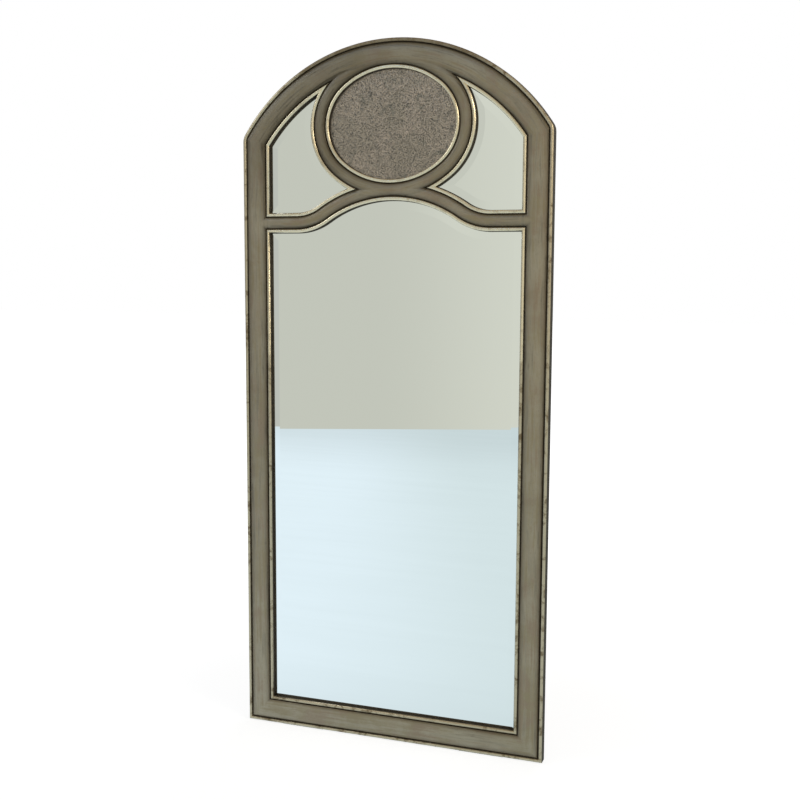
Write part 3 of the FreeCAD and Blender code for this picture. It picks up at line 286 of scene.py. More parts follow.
class Nodes:
    """A shader tree under construction; place is the coordinate that its patterns follow."""

    def __init__(self, owner, coordinate):
        owner.use_nodes = True
        self.tree = owner.node_tree
        self.tree.nodes.clear()
        self.place = Sock(self.tree, self.make("ShaderNodeTexCoord").outputs[coordinate])

    def make(self, kind, options=None, sockets=None):
        """Adds a node: its options are set first, then its sockets."""
        node = self.tree.nodes.new(kind)
        for key, value in (options or {}).items():
            setattr(node, key, value)
        for key, value in (sockets or {}).items():
            put(self.tree, node.inputs[key], value)
        return node

    def axes(self, vector=None):
        """The x, y and z of a place."""
        node = self.make("ShaderNodeSeparateXYZ", sockets={0: vector or self.place})
        return [Sock(self.tree, out) for out in node.outputs]

    def vector(self, x, y, z):
        """A vector from three values."""
        node = self.make("ShaderNodeCombineXYZ", sockets={0: x, 1: y, 2: z})
        return Sock(self.tree, node.outputs[0])

    def mean(self, share, first, second):
        """A value between two."""
        return first + (second - first) * share

    def stretched(self, scale=(1.0, 1.0, 1.0), shift=0.0):
        """The place, scaled along each axis and shifted by the same amount along all three."""
        node = self.make("ShaderNodeMapping", sockets={"Vector": self.place, "Scale": scale,
                                                       "Location": (shift, shift, shift)})
        return Sock(self.tree, node.outputs[0])

    def noise(self, scale, detail=3.0, roughness=0.55, distortion=0.0, vector=None):
        """Soft clouds, mostly near a half; scale counts them along a metre."""
        node = self.make("ShaderNodeTexNoise", sockets={
            "Vector": vector or self.place, "Scale": scale, "Detail": detail,
            "Roughness": roughness, "Distortion": distortion})
        return Sock(self.tree, node.outputs["Fac"])

    def cells(self, scale, vector=None, output="Distance"):
        """Grains; the output is the distance from a grain's middle, or a colour for each."""
        node = self.make("ShaderNodeTexVoronoi", sockets={"Vector": vector or self.place,
                                                          "Scale": scale})
        return Sock(self.tree, node.outputs[output])

    def rise(self, value, low, high):
        """0 below low and 1 above high, smooth between."""
        node = self.make("ShaderNodeMapRange", {"interpolation_type": "SMOOTHSTEP"}, {
            "Value": value, "From Min": low, "From Max": high})
        return Sock(self.tree, node.outputs[0])

    def blend(self, share, first, second):
        """A colour between two."""
        node = self.make("ShaderNodeMix", {"data_type": "RGBA", "clamp_factor": True},
                         {0: share, 6: first, 7: second})
        return Sock(self.tree, node.outputs[2])

    def bump(self, height, distance, strength=1.0):
        """A normal that follows a height in metres times distance."""
        sockets = {"Height": height, "Distance": distance, "Strength": strength}
        node = self.make("ShaderNodeBump", sockets=sockets)
        return Sock(self.tree, node.outputs[0])

    def glow(self, shade, strength=1.0):
        """A shader that gives a colour off."""
        node = self.make("ShaderNodeEmission", sockets={"Color": shade, "Strength": strength})
        return Sock(self.tree, node.outputs[0])

    def matt(self, shade):
        """A plain matt shader."""
        node = self.make("ShaderNodeBsdfDiffuse", sockets={"Color": shade})
        return Sock(self.tree, node.outputs[0])

    def mixed(self, share, first, second):
        """A shader between two."""
        node = self.make("ShaderNodeMixShader", sockets={0: share, 1: first, 2: second})
        return Sock(self.tree, node.outputs[0])

    def by_ray(self, seen, mirrored, otherwise, end):
        """Shows one shader to the camera, one in gloss and one to the rest."""
        path = self.make("ShaderNodeLightPath").outputs
        gloss = Sock(self.tree, path["Is Glossy Ray"])
        gloss = gloss.biggest(Sock(self.tree, path["Is Transmission Ray"]))
        camera = Sock(self.tree, path["Is Camera Ray"])
        whole = self.mixed(camera, self.mixed(gloss, otherwise, mirrored), seen)
        self.make(end, sockets={0: whole})


class Finish(Nodes):
    """A material under construction."""

    def __init__(self, name, **surface):
        self.material = bpy.data.materials.new(name)
        super().__init__(self.material, "Object")
        self.surface = self.make("ShaderNodeBsdfPrincipled", sockets=surface)
        self.make("ShaderNodeOutputMaterial", sockets={0: Sock(self.tree, self.surface.outputs[0])})

    def facing_back(self):
        """1 where the surface looks straight out behind, and -1 where it looks to the front."""
        coordinates = self.make("ShaderNodeTexCoord")
        return self.axes(Sock(self.tree, coordinates.outputs["Normal"]))[1]

    def feed(self, **links):
        """Links values to the surface shader's sockets."""
        for name, value in links.items():
            put(self.tree, self.surface.inputs[name.replace("_", " ")], value)


def near_outline(f, x, z, limits):
    """0 within the frame and 1 towards its outline, smooth between each pair of limits."""
    width, radius, height = limits
    reach = (x * x + (z - ARCH_CENTRE_Z) ** 2.0) ** 0.5
    beside = f.rise(x.size(), *width).biggest(f.rise(reach, *radius))
    return beside.biggest(1.0 - f.rise(z, *height))


def brushed(f, x, y, z):
    """Streaks of a brush drawn along each member: up, across, over the ogee, round the curves."""

    def streaks(across, along_x, along_z):
        """Streaks that change quickly across a member and slowly along it."""
        place = f.vector(across * STREAKS_ACROSS, along_x * STREAKS_ALONG,
                         along_z * STREAKS_ALONG)
        return f.noise(1.0, 4.0, 0.62, 0.25, vector=place)

    side = x.size()
    up = z - ARCH_CENTRE_Z
    reach = (x * x + up * up) ** 0.5
    arch = streaks(reach, x / reach * ARCH_RADIUS, up / reach * ARCH_RADIUS)
    wide = x / OVAL_HALF_WIDTH
    tall = (z - OVAL_Z) / OVAL_HALF_HEIGHT
    oval = (wide * wide + tall * tall) ** 0.5
    ring = streaks(oval * OVAL_HALF_HEIGHT, wide / oval * OVAL_HALF_WIDTH,
                   tall / oval * OVAL_HALF_WIDTH)
    turn = side.smallest(OGEE_HALF_WIDTH) * (math.pi / OGEE_HALF_WIDTH)
    ogee = turn.cosine() * (0.5 * OGEE_RISE)
    cross = streaks(z - ogee, x, 0.0)
    stile = streaks(x, y, z)
    base = streaks(z, x, BASE_PLACE)

    on_stile = f.rise(side, SIGHT_X - 0.012, SIGHT_X + 0.004)
    on_ring = 1.0 - f.rise(oval, 1.30, 1.42)
    shoulder = z - SHOULDER_Z - (side - SIGHT_X) * SHOULDER_SLOPE
    on_arch = f.rise(shoulder, -0.012, 0.012) * f.rise(reach, ARCH_SIGHT_RADIUS - 0.014,
                                                       ARCH_SIGHT_RADIUS + 0.006)
    on_base = f.rise(HALF_WIDTH - side - z, -0.012, 0.012) * (1.0 - f.rise(z, 0.2, 0.3))
    lanes = f.mean(on_stile, cross, stile)
    lanes = f.mean(on_ring, lanes, ring)
    lanes = f.mean(on_arch, lanes, arch)
    return f.mean(on_base, lanes, base)


def leafed_frame():
    """Pewter leaf under a brown glaze, brushed along each member and left in its channels, with
    painted shade and light by place.
    """
    s = settings("mirror_leaf")
    f = Finish("pewter_over_brown")
    x, y, z = f.axes()
    back = f.facing_back()
    lanes = brushed(f, x, y, z)
    cloud = f.noise(6.0, 4.0, 0.6, 0.5)
    fine = f.noise(85.0, 5.0, 0.7)
    speck = f.noise(950.0, 2.0, 0.6)
    crown = f.rise(-1.0 * y, *CROWN_HEIGHTS)
    channel = 1.0 - f.rise(-1.0 * y, *CHANNEL_HEIGHTS)
    front = f.rise(-1.0 * back, 0.45, 0.8)
    behind = f.rise(back, 0.45, 0.8)

    # Painted shade high up, most of all at the left, and over the top of the arch; painted light
    # low down; across the bottom member, painted light at its left and painted shade at its right
    high = f.rise(z, 1.60, 1.84) * (0.05 + 0.30 * (1.0 - f.rise(x, -0.30, 0.10)))
    low = (1.0 - f.rise(z, 0.10, 0.60)) * 0.12
    inside_mitres = 1.0 - f.rise(x.size() + z, HALF_WIDTH - 0.002, HALF_WIDTH + 0.002)
    on_rail = (1.0 - f.rise(z, 0.10, 0.14)) * inside_mitres
    painted_light_and_shade_on_rail = on_rail * (0.16 - 0.22 * f.rise(x, -0.15, 0.35))
    # thick: painted shade where it is above nought, painted light where it is below
    thick = high + f.rise(z, 1.98, 2.10) * 0.16 - low - painted_light_and_shade_on_rail

    patch = f.rise(cloud * 0.35 + lanes * 0.5 + fine * 0.15, 0.42, 0.58)
    warm = f.rise(f.noise(11.0, 3.0, 0.6, 0.8), 0.46, 0.60) * 0.8
    browned = f.blend(warm, tuple(s.pewter), tuple(s.pewter_rose))
    leaf = f.blend(patch, browned, tuple(s.pewter_pale))
    # Glaze gathers off the crowns and along the streaks, with the painted shade and light of thick
    # added
    glaze_with_painted_shade_and_light = (1.0 - crown) * 0.67 + f.rise(lanes, 0.48, 0.68) * 0.36 + thick
    dulled_and_shaded = (glaze_with_painted_shade_and_light + f.rise(fine, 0.50, 0.72) * 0.14).clamped()
    face = f.blend(dulled_and_shaded, leaf, tuple(s.glaze))
    speckled = f.blend(f.rise(speck, 0.60, 0.74) * 0.30, face, tuple(s.glaze))
    sunk = f.blend((channel * (0.80 + 0.3 * (fine - 0.5))).clamped(), speckled, tuple(s.ground))
    edge = f.blend(f.rise(fine, 0.35, 0.7) * 0.4, tuple(s.side), tuple(s.glaze))
    stained = f.blend(f.rise(lanes * 0.7 + fine * 0.3, 0.40, 0.62), tuple(s.stain),
                      tuple(s.stain_grain))
    around = f.blend(behind, edge, stained)
    outline = near_outline(f, x, z, AT_EDGE)
    outer = ((1.0 - front) * outline * channel).biggest(behind)
    grain = f.noise(260.0, 3.0, 0.6)
    relief = grain * 0.35 + speck * 0.2 + cloud * 0.5 + lanes * 0.7
    f.feed(Base_Color=f.blend(outer, sunk, around),
           Metallic=(0.6 * (1.0 - channel) * (1.0 - dulled_and_shaded * 0.6)).clamped(),
           Roughness=(0.33 + 0.14 * fine + 0.22 * channel + 0.10 * dulled_and_shaded).clamped(),
           Coat_Weight=0.45 * (1.0 - channel.biggest(1.0 - front)),
           Normal=f.bump(relief, 0.00022, 0.8))
    f.surface.inputs["Specular IOR Level"].default_value = 0.25
    f.surface.inputs["Coat Roughness"].default_value = 0.24
    return f.material


def leafed_bead():
    """Champagne leaf, bright on the crest, worn and flecked, brown at its feet, darker towards the
    outline, with painted shade on the outer bead over the top of the arch.
    """
    s = settings("mirror_leaf")
    f = Finish("champagne_over_brown")
    x, y, z = f.axes()
    crest = f.rise(-1.0 * y, *BEAD_HEIGHTS)
    fine = f.noise(120.0, 4.0, 0.7)
    worn = f.rise(f.noise(28.0, 5.0, 0.75, 0.6), 0.50, 0.66)
    speck = f.rise(f.noise(210.0, 3.0, 0.6), 0.58, 0.70)
    outer = near_outline(f, x, z, AT_OUTER_BEAD)
    # Painted shade on the outer bead over the top of the arch
    top = outer * f.rise(z, 2.00, 2.08)
    worn_and_shaded = (worn * 0.30 + speck * 0.12 + outer * (0.40 + 0.3 * worn) + top * 0.5).clamped()
    leaf = f.blend(worn_and_shaded, tuple(s.champagne), tuple(s.champagne_worn_and_shaded))
    toned = f.blend((1.0 - crest) * 0.92, leaf, tuple(s.ground))
    f.feed(Base_Color=toned,
           Metallic=(0.95 * crest * (1.0 - worn_and_shaded * 0.3)).clamped(),
           Roughness=(0.20 + 0.12 * fine + 0.25 * (1.0 - crest) + 0.14 * worn_and_shaded).clamped(),
           Coat_Weight=0.35 * crest,
           Normal=f.bump(fine * 0.4 + speck * 0.1, 0.00012, 0.5))
    f.surface.inputs["Specular IOR Level"].default_value = 0.4
    f.surface.inputs["Coat Roughness"].default_value = 0.12
    return f.material


def silvered():
    """Clear silvered glass; its ground edge and painted back show at the sides and behind."""
    s = settings("mirror_glass")
    f = Finish("clear_silvering")
    back = f.facing_back()
    front = f.rise(-1.0 * back, 0.2, 0.5)
    behind = f.rise(back, 0.2, 0.5)
    edge = f.blend(behind, tuple(s.glass_edge), tuple(s.paint))
    wave = f.noise(1.6, 1.0, 0.4)
    f.feed(Base_Color=f.blend(front, edge, tuple(s.silver)),
           Metallic=front,
           Roughness=(0.35 * (1.0 - front) + 0.004 * wave).clamped(),
           Normal=f.bump(wave, 0.00004, 1.0))
    return f.material


def antiqued():
    """Silvering that has been clouded and wormed with short dark strokes, for the disc."""
    s = settings("mirror_glass")
    f = Finish("aged_silver")
    front = f.rise(-1.0 * f.facing_back(), 0.2, 0.5)
    cloud = f.noise(9.0, 4.0, 0.65, 0.8)
    bloom = f.noise(26.0, 5.0, 0.75, 1.2)

    def strokes(scale, wide, shift):
        """Short wriggling strokes where a noise is near a half, and that noise."""
        worm = f.noise(scale, 2.0, 0.6, 1.3, vector=f.stretched(shift=shift))
        gaps = f.noise(scale * 1.9, 3.0, 0.7, vector=f.stretched(shift=-shift))
        broken = f.rise(gaps, 0.44, 0.55)
        return (1.0 - f.rise((worm - 0.5).size(), wide * 0.4, wide)) * broken, worm

    bold, bold_relief = strokes(110.0, 0.060, 3.1)
    thin, thin_relief = strokes(190.0, 0.090, 7.7)
    dark = (bold * 0.82 + thin * 0.66).clamped()
    pale = f.rise(thin_relief, 0.58, 0.70) * 0.5
    mottled = f.blend(f.rise(cloud, 0.38, 0.60), tuple(s.aged), tuple(s.aged_rose))
    lifted = f.blend(pale, mottled, tuple(s.aged_pale))
    stains = f.rise(bloom * 0.7 + cloud * 0.3, 0.50, 0.64) * 0.65
    stained = f.blend(stains, lifted, tuple(s.aged_green))
    veined = f.blend(dark, stained, tuple(s.aged_dark))
    f.feed(Base_Color=f.blend(front, tuple(s.paint), veined),
           Metallic=(front * (0.8 - 0.7 * dark)).clamped(),
           Roughness=(0.20 + 0.25 * dark + 0.1 * cloud).clamped(),
           Normal=f.bump(bold_relief * 0.6 + thin_relief * 0.4, 0.0005, 0.7))
    f.surface.inputs["Coat Weight"].default_value = 0.3
    f.surface.inputs["Coat Roughness"].default_value = 0.03
    return f.material


def hardboard():
    """Raw hardboard: short matted fibres."""
    s = settings("mirror_back")
    f = Finish("matted_board", Roughness=0.82)
    matted = f.noise(420.0, 5.0, 0.75, 1.5)
    cloud = f.noise(6.0, 3.0, 0.6)
    fibre = f.cells(300.0, vector=f.stretched((1.0, 1.0, 0.35)))
    tone = f.blend(f.rise(matted, 0.38, 0.68), tuple(s.board), tuple(s.board_fibre))
    dark = tuple(0.72 * c for c in s.board)
    toned = f.blend((cloud * 0.5 + f.rise(fibre, 0.35, 0.7) * 0.3).clamped(), tone, dark)
    f.feed(Base_Color=toned, Normal=f.bump(matted + fibre * 0.4, 0.0002, 0.7))
    return f.material


def bare_timber():
    """Unfinished wood with its grain along the piece's longest way."""
    s = settings("mirror_back")
    f = Finish("bare_timber", Roughness=0.7)
    along = f.stretched((90.0, 90.0, 6.0))
    bands = f.noise(1.0, 4.0, 0.6, 0.7, vector=along)
    pores = f.noise(1.0, 3.0, 0.7, vector=f.stretched((900.0, 900.0, 40.0)))
    tone = f.blend(f.rise(bands, 0.42, 0.62), tuple(s.timber), tuple(s.timber_late))
    toned = f.blend(f.rise(pores, 0.6, 0.75) * 0.45, tone, tuple(s.timber_late))
    f.feed(Base_Color=toned, Normal=f.bump(bands * 0.5 + pores * 0.5, 0.00015, 0.6))
    return f.material


def zinc_plate():
    """Zinc-plated steel with faint spangle and dulled hollows."""
    s = settings("mirror_back")
    f = Finish("zinc_plating", Metallic=1.0)
    spangle = f.cells(620.0, output="Color")
    shade = f.axes(spangle)[0]
    smear = f.noise(140.0, 4.0, 0.65)
    dull = tuple(0.62 * c for c in s.zinc)
    f.feed(Base_Color=f.blend((shade * 0.25 + f.rise(smear, 0.5, 0.8) * 0.5).clamped(),
                              tuple(s.zinc), dull),
           Roughness=(0.24 + 0.14 * shade + 0.2 * smear).clamped(),
           Normal=f.bump(smear, 0.00006, 0.6))
    return f.material


def dense_felt():
    """Pressed felt: matted fibres with a soft edge."""
    s = settings("mirror_back")
    f = Finish("pressed_felt", Roughness=0.95)
    fibre = f.noise(1500.0, 4.0, 0.8, 2.0)
    fleck = f.rise(f.noise(600.0, 3.0, 0.6), 0.5, 0.7)
    pale = tuple(min(1.0, 1.7 * c) for c in s.felt)
    f.feed(Base_Color=f.blend((fibre * 0.5 + fleck * 0.4).clamped(), tuple(s.felt), pale),
           Normal=f.bump(fibre, 0.0006, 0.9))
    f.surface.inputs["Sheen Weight"].default_value = 0.4
    f.surface.inputs["Sheen Roughness"].default_value = 0.5
    return f.material


def matt_rubber():
    """Moulded rubber with a fine texture and dust."""
    s = settings("mirror_back")
    f = Finish("matt_rubber")
    grain = f.noise(800.0, 3.0, 0.6)
    dust = f.rise(f.noise(60.0, 4.0, 0.6), 0.5, 0.8)
    dusty = tuple(c + 0.07 for c in s.rubber)
    f.feed(Base_Color=f.blend(dust * 0.6, tuple(s.rubber), dusty),
           Roughness=(0.62 + 0.2 * grain).clamped(),
           Normal=f.bump(grain, 0.0002, 0.6))
    return f.material


MAKERS = {
    "frame_leaf": leafed_frame,
    "bead_leaf": leafed_bead,
    "clear_mirror": silvered,
    "antique_mirror": antiqued,
    "hardboard": hardboard,
    "raw_wood": bare_timber,
    "zinc_steel": zinc_plate,
    "felt": dense_felt,
    "rubber_pad": matt_rubber,
}
MADE = {}
SLOT_OF = {p["node"]: p["material_slot"] for p in frame["record"]["subparts"]}


def material_for(slot):
    """The finish of a slot, made once."""
    if slot not in MADE:
        MADE[slot] = MAKERS[slot]()
    return MADE[slot]


def nodes_with(slot):
    """The CAD nodes that have a slot's finish."""
    return [name for name in sorted(frame["nodes"]) if SLOT_OF.get(name) == slot]


# Pieces

MERGE = 0.00001             # corners nearer than this are one
FLAT = math.radians(0.2)    # faces that meet flatter than this are one
JOINT_REACH = 0.0002        # an edge nearer than this to another piece lies in a joint
EASE_STEPS = 2
ARRIS_ANGLE = 60.0          # edges sharper than this are eased, in degrees
BEAD_ANGLE = 30.0           # the same for a bead, whose flats are rounded together
BACKWARDS = Matrix.Rotation(-math.pi / 2, 4, "X")     # turns an upright piece to look out behind

# Screws as (radius, height) pairs, from the tip to the flat of the head
PANEL_SCREW = ((0.0004, -0.0138), (0.0014, -0.0118), (0.0015, -0.0112), (0.0015, -0.0017),
               (0.0030, -0.0002), (0.0031, 0.0), (0.0030, 0.0001))
HANGER_SCREW = ((0.0005, -0.0178), (0.0018, -0.0150), (0.0020, -0.0140), (0.0020, 0.0),
                (0.0038, 0.0), (0.0040, 0.0002), (0.0040, 0.0009), (0.0037, 0.0014),
                (0.0032, 0.0018), (0.0025, 0.0021), (0.0022, 0.0022))
SCREW_TURN = 2.4            # from one screw's cross to the next one's, in radians
RECESS_SHARE = 0.72         # the reach of the cross, of the flat's radius
RECESS_TAPER = 0.6          # the size of its floor, of its mouth

# The rim of a bumper: (inset, height) pairs, then (inset, share of its thickness) pairs
BUMPER_FOOT = ((0.0002, 0.0), (0.0, 0.0005))
BUMPER_TOP = ((0.0, 0.72), (0.0004, 0.86), (0.0013, 0.96), (0.0026, 1.0))

RING_BAR = 0.026            # the straight bar that lies in the strap's loop
RING_LEG = 0.005            # the straight run from a corner to the bow
CORNER_STEPS = 8
BOW_STEPS = 32


def body_with(node):
    """The name of the body that a CAD node rides on."""
    return frame["nodes"][node]["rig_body"]


def paint(obj, slot):
    """Gives an object a slot's finish."""
    obj.data.materials.clear()
    obj.data.materials.append(material_for(slot))


def paint_nodes(*slots):
    """Gives the CAD nodes of some slots their finish."""
    for slot in slots:
        for node in nodes_with(slot):
            paint(frame["nodes"][node], slot)


def add_object(name, bm):
    """Turns a bmesh into an object of the scene."""
    mesh = bpy.data.meshes.new(name)
    bm.to_mesh(mesh)
    bm.free()
    obj = bpy.data.objects.new(name, mesh)
    bpy.context.scene.collection.objects.link(obj)
    return obj


def add_piece(name, bm, node, slot, smooth=math.radians(40.0)):
    """Turns a bmesh into a piece that stands for a CAD node; flatter edges are shaded round."""
    bmesh.ops.recalc_face_normals(bm, faces=bm.faces)
    for face in bm.faces:
        face.smooth = True
    for edge in bm.edges:
        edge.smooth = edge.is_manifold and edge.calc_face_angle() < smooth
    obj = add_object(name, bm)
    if obj.data.has_custom_normals:
        obj.data.attributes.remove(obj.data.attributes["custom_normal"])
    paint(obj, slot)
    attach(obj, body_with(node))
    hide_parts(node)
    return obj


def merged_copy(node):
    """A CAD node's mesh with its loose triangles joined."""
    bm = bmesh.new()
    bm.from_mesh(frame["nodes"][node].data)
    bmesh.ops.remove_doubles(bm, verts=bm.verts, dist=MERGE)
    return bm


def tree_of(node):
    """The faces of a CAD node, sorted for finding the nearest."""
    mesh = frame["nodes"][node].data
    return BVHTree.FromPolygons([vert.co for vert in mesh.vertices],
                                [face.vertices for face in mesh.polygons])


def add_eased(node, suffix, ease, sharper=ARRIS_ANGLE, against=()):
    """A copy of a CAD node, shaded round; edges sharper than an angle in degrees are eased.

    An edge that lies in a joint, against one of the other pieces, stays tight.
    """
    bm = merged_copy(node)
    bmesh.ops.dissolve_limit(bm, angle_limit=FLAT, verts=bm.verts, edges=bm.edges)
    weight = bm.edges.layers.float.new("bevel_weight_edge")
    for edge in bm.edges:
        if edge.is_manifold and edge.calc_face_angle() > math.radians(sharper):
            middle = (edge.verts[0].co + edge.verts[1].co) / 2
            in_joint = any(tree.find_nearest(middle, JOINT_REACH)[0] for tree in against)
            edge[weight] = 0.0 if in_joint else 1.0
    obj = add_piece(node + suffix, bm, node, SLOT_OF[node], settings("mirror_leaf").smoothing)
    soften = obj.modifiers.new("eased edges", "BEVEL")
    soften.width = ease
    soften.segments = EASE_STEPS
    soften.limit_method = "WEIGHT"


def add_eased_group(slot, ease, sharper):
    """Eased copies of all the pieces with one finish, tight where they meet."""
    trees = {node: tree_of(node) for node in nodes_with(slot)}
    for node in trees:
        others = [tree for other, tree in trees.items() if other != node]
        add_eased(node, "_leafed", ease, sharper, others)


def solids_of(node):
    """The lowest and highest corner of each solid of a CAD node, left to right and up."""
    bm = merged_copy(node)
    boxes = []
    waiting = set(bm.verts)
    while waiting:
        reached = {waiting.pop()}
        fresh = list(reached)
        while fresh:
            near = [edge.other_vert(vert) for vert in fresh for edge in vert.link_edges]
            fresh = [vert for vert in set(near) if vert not in reached]
            reached.update(fresh)
        waiting -= reached
        corners = list(zip(*(vert.co for vert in reached)))
        boxes.append((Vector(map(min, corners)), Vector(map(max, corners))))
    bm.free()
    return sorted(boxes, key=lambda box: (round(box[0].x, 3), round(box[0].z, 3)))


def turned(bm, profile, sides):
    """A closed turned solid along Z, from (radius, height) pairs; returns its last face."""
    radius, height = profile[0]
    made = bmesh.ops.create_circle(bm, cap_ends=True, segments=sides, radius=radius)["verts"]
    bmesh.ops.translate(bm, vec=(0.0, 0.0, height), verts=made)
    cap = bottom = made[0].link_faces[0]
    for next_radius, next_height in profile[1:]:
        out = bmesh.ops.extrude_face_region(bm, geom=[cap])["geom"]
        if cap is not bottom:
            bmesh.ops.delete(bm, geom=[cap], context="FACES_ONLY")
        cap = next(part for part in out if isinstance(part, bmesh.types.BMFace))
        verts = cap.verts[:]
        share = next_radius / radius
        bmesh.ops.scale(bm, vec=(share, share, 1.0), verts=verts)
        bmesh.ops.translate(bm, vec=(0.0, 0.0, next_height - height), verts=verts)
        radius, height = next_radius, next_height
    return cap


def cross_recess(bm, cap, reach, blade, depth):
    """Sinks a cross into the middle of a flat round face."""
    height = cap.verts[0].co.z
    rim = cap.edges[:]
    bmesh.ops.delete(bm, geom=[cap], context="FACES_ONLY")
    made = bmesh.ops.create_grid(bm, x_segments=3, y_segments=3, size=reach)["verts"]
    for vert in made:
        for axis in (0, 1):
            if abs(vert.co[axis]) < reach / 2:
                vert.co[axis] = math.copysign(blade / 2, vert.co[axis])
        vert.co.z = height
    faces = {face for vert in made for face in vert.link_faces}
    corners = [face for face in faces
               if all(abs(c) > blade / 2 for c in face.calc_center_median()[:2])]
    arms = [face for face in faces if face not in corners]
    bmesh.ops.delete(bm, geom=corners, context="FACES")
    edges = {edge for face in arms for edge in face.edges if len(edge.link_faces) == 1}
    bmesh.ops.bridge_loops(bm, edges=rim + list(edges))
    out = bmesh.ops.extrude_face_region(bm, geom=arms)["geom"]
    bmesh.ops.delete(bm, geom=arms, context="FACES")
    floor = [part for part in out if isinstance(part, bmesh.types.BMVert)]
    bmesh.ops.scale(bm, vec=(RECESS_TAPER, RECESS_TAPER, 1.0), verts=floor)
    bmesh.ops.translate(bm, vec=(0.0, 0.0, -depth), verts=floor)


def add_screws(node, profile, sunk=0.0):
    """Every screw of a CAD node with a round head and a cross recess, each turned its own way."""
    s = settings("mirror_back")
    bm = bmesh.new()
    for i, (low, high) in enumerate(solids_of(node)):
        one = bmesh.new()
        cap = turned(one, profile, s.round_sides)
        cross_recess(one, cap, profile[-1][0] * RECESS_SHARE, s.blade, s.recess)
        seat = ((low.x + high.x) / 2, high.y - sunk, (low.z + high.z) / 2)
        spin = Matrix.Rotation(i * SCREW_TURN, 4, "Z")
        place = Matrix.Translation(seat) @ BACKWARDS @ spin
        bmesh.ops.transform(one, matrix=place, verts=one.verts)
        mesh = bpy.data.meshes.new("screw")
        one.to_mesh(mesh)
        one.free()
        bm.from_mesh(mesh)
        bpy.data.meshes.remove(mesh)
    add_piece(node + "_turned", bm, node, SLOT_OF[node])


def add_bumpers(node):
    """Every felt bumper of a CAD node, round and pressed thinner towards its rim."""
    sides = 2 * settings("mirror_back").round_sides
    bm = bmesh.new()
    for low, high in solids_of(node):
        radius = (high.x - low.x) / 2
        thick = high.y - low.y
        profile = [(radius - inset, height) for inset, height in BUMPER_FOOT]
        profile += [(radius - inset, thick * share) for inset, share in BUMPER_TOP]
        before = set(bm.verts)
        turned(bm, profile, sides)
        fresh = [vert for vert in bm.verts if vert not in before]
        seat = ((low.x + high.x) / 2, low.y, (low.z + high.z) / 2)
        bmesh.ops.transform(bm, matrix=Matrix.Translation(seat) @ BACKWARDS, verts=fresh)
    add_piece(node + "_pressed", bm, node, SLOT_OF[node])


def add_ring(side):
    """One ring of round wire, bent to a D, with its straight bar in its strap's loop."""
    node = "hanger_ring_" + side
    low, high = (Vector(corner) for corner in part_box(node))
    wire = (high.y - low.y) / 2
    half = (high.x - low.x) / 2 - wire
    corner = half - RING_BAR / 2
    drop = corner + RING_LEG
    quarter = math.pi / 2
    bm = bmesh.new()
    verts = bmesh.ops.create_circle(bm, segments=settings("mirror_back").round_sides,
                                    radius=wire)["verts"]
    bmesh.ops.rotate(bm, verts=verts, cent=(0, 0, 0), matrix=Matrix.Rotation(quarter, 3, "Y"))
    geom = verts + list({edge for vert in verts for edge in vert.link_edges})

    def run(geom, x, z):
        """Draws the wire's end out straight, and returns its new end."""
        edges = [part for part in geom if isinstance(part, bmesh.types.BMEdge)]
        out = bmesh.ops.extrude_edge_only(bm, edges=edges)["geom"]
        ends = [part for part in out if isinstance(part, bmesh.types.BMVert)]
        bmesh.ops.translate(bm, vec=(x, 0.0, z), verts=ends)
        inside = set(ends)
        rim = [part for part in out if isinstance(part, bmesh.types.BMEdge)
               and all(vert in inside for vert in part.verts)]
        return ends + rim

    def bend(geom, x, z, angle, steps):
        """Bends the wire's end about a point, and returns its new end."""
        return bmesh.ops.spin(bm, geom=geom, cent=(x, 0.0, z), axis=(0.0, 1.0, 0.0),
                              angle=angle, steps=steps, use_merge=False,
                              use_duplicate=False)["geom_last"]

    geom = run(geom, RING_BAR / 2, 0.0)
    geom = bend(geom, RING_BAR / 2, -corner, quarter, CORNER_STEPS)
    geom = run(geom, 0.0, -RING_LEG)
    geom = bend(geom, 0.0, -drop, math.pi, BOW_STEPS)
    geom = run(geom, 0.0, RING_LEG)
    geom = bend(geom, -RING_BAR / 2, -corner, quarter, CORNER_STEPS)
    run(geom, RING_BAR / 2, 0.0)
    bmesh.ops.remove_doubles(bm, verts=bm.verts, dist=MERGE)
    axis_z = low.z + wire + half + drop
    middle = ((low.x + high.x) / 2, (low.y + high.y) / 2, axis_z)
    bmesh.ops.translate(bm, vec=middle, verts=bm.verts)
    add_piece(node + "_wire", bm, node, SLOT_OF[node])


class FLOOR_MIRROR_OT_members(bpy.types.Operator):
    """Dress the members of the frame in pewter leaf"""

    bl_idname = "floor_mirror.members"
    bl_label = "Frame Members"

    def execute(self, context):
        add_eased_group("frame_leaf", settings("mirror_leaf").arris, ARRIS_ANGLE)
        return {"FINISHED"}


class FLOOR_MIRROR_OT_beads(bpy.types.Operator):
    """Dress the bead strips in champagne leaf"""

    bl_idname = "floor_mirror.beads"
    bl_label = "Beads"

    def execute(self, context):
        add_eased_group("bead_leaf", settings("mirror_leaf").bead_ease, BEAD_ANGLE)
        return {"FINISHED"}


class FLOOR_MIRROR_OT_panes(bpy.types.Operator):
    """Silver the panes and age the disc"""

    bl_idname = "floor_mirror.panes"
    bl_label = "Panes"

    def execute(self, context):
        paint_nodes("clear_mirror", "antique_mirror")
        return {"FINISHED"}


class FLOOR_MIRROR_OT_boards(bpy.types.Operator):
    """Finish the boards, the glue blocks, the dowels and the tongues"""

    bl_idname = "floor_mirror.boards"
    bl_label = "Boards and Joinery"

    def execute(self, context):
        paint_nodes("hardboard", "raw_wood")
        return {"FINISHED"}


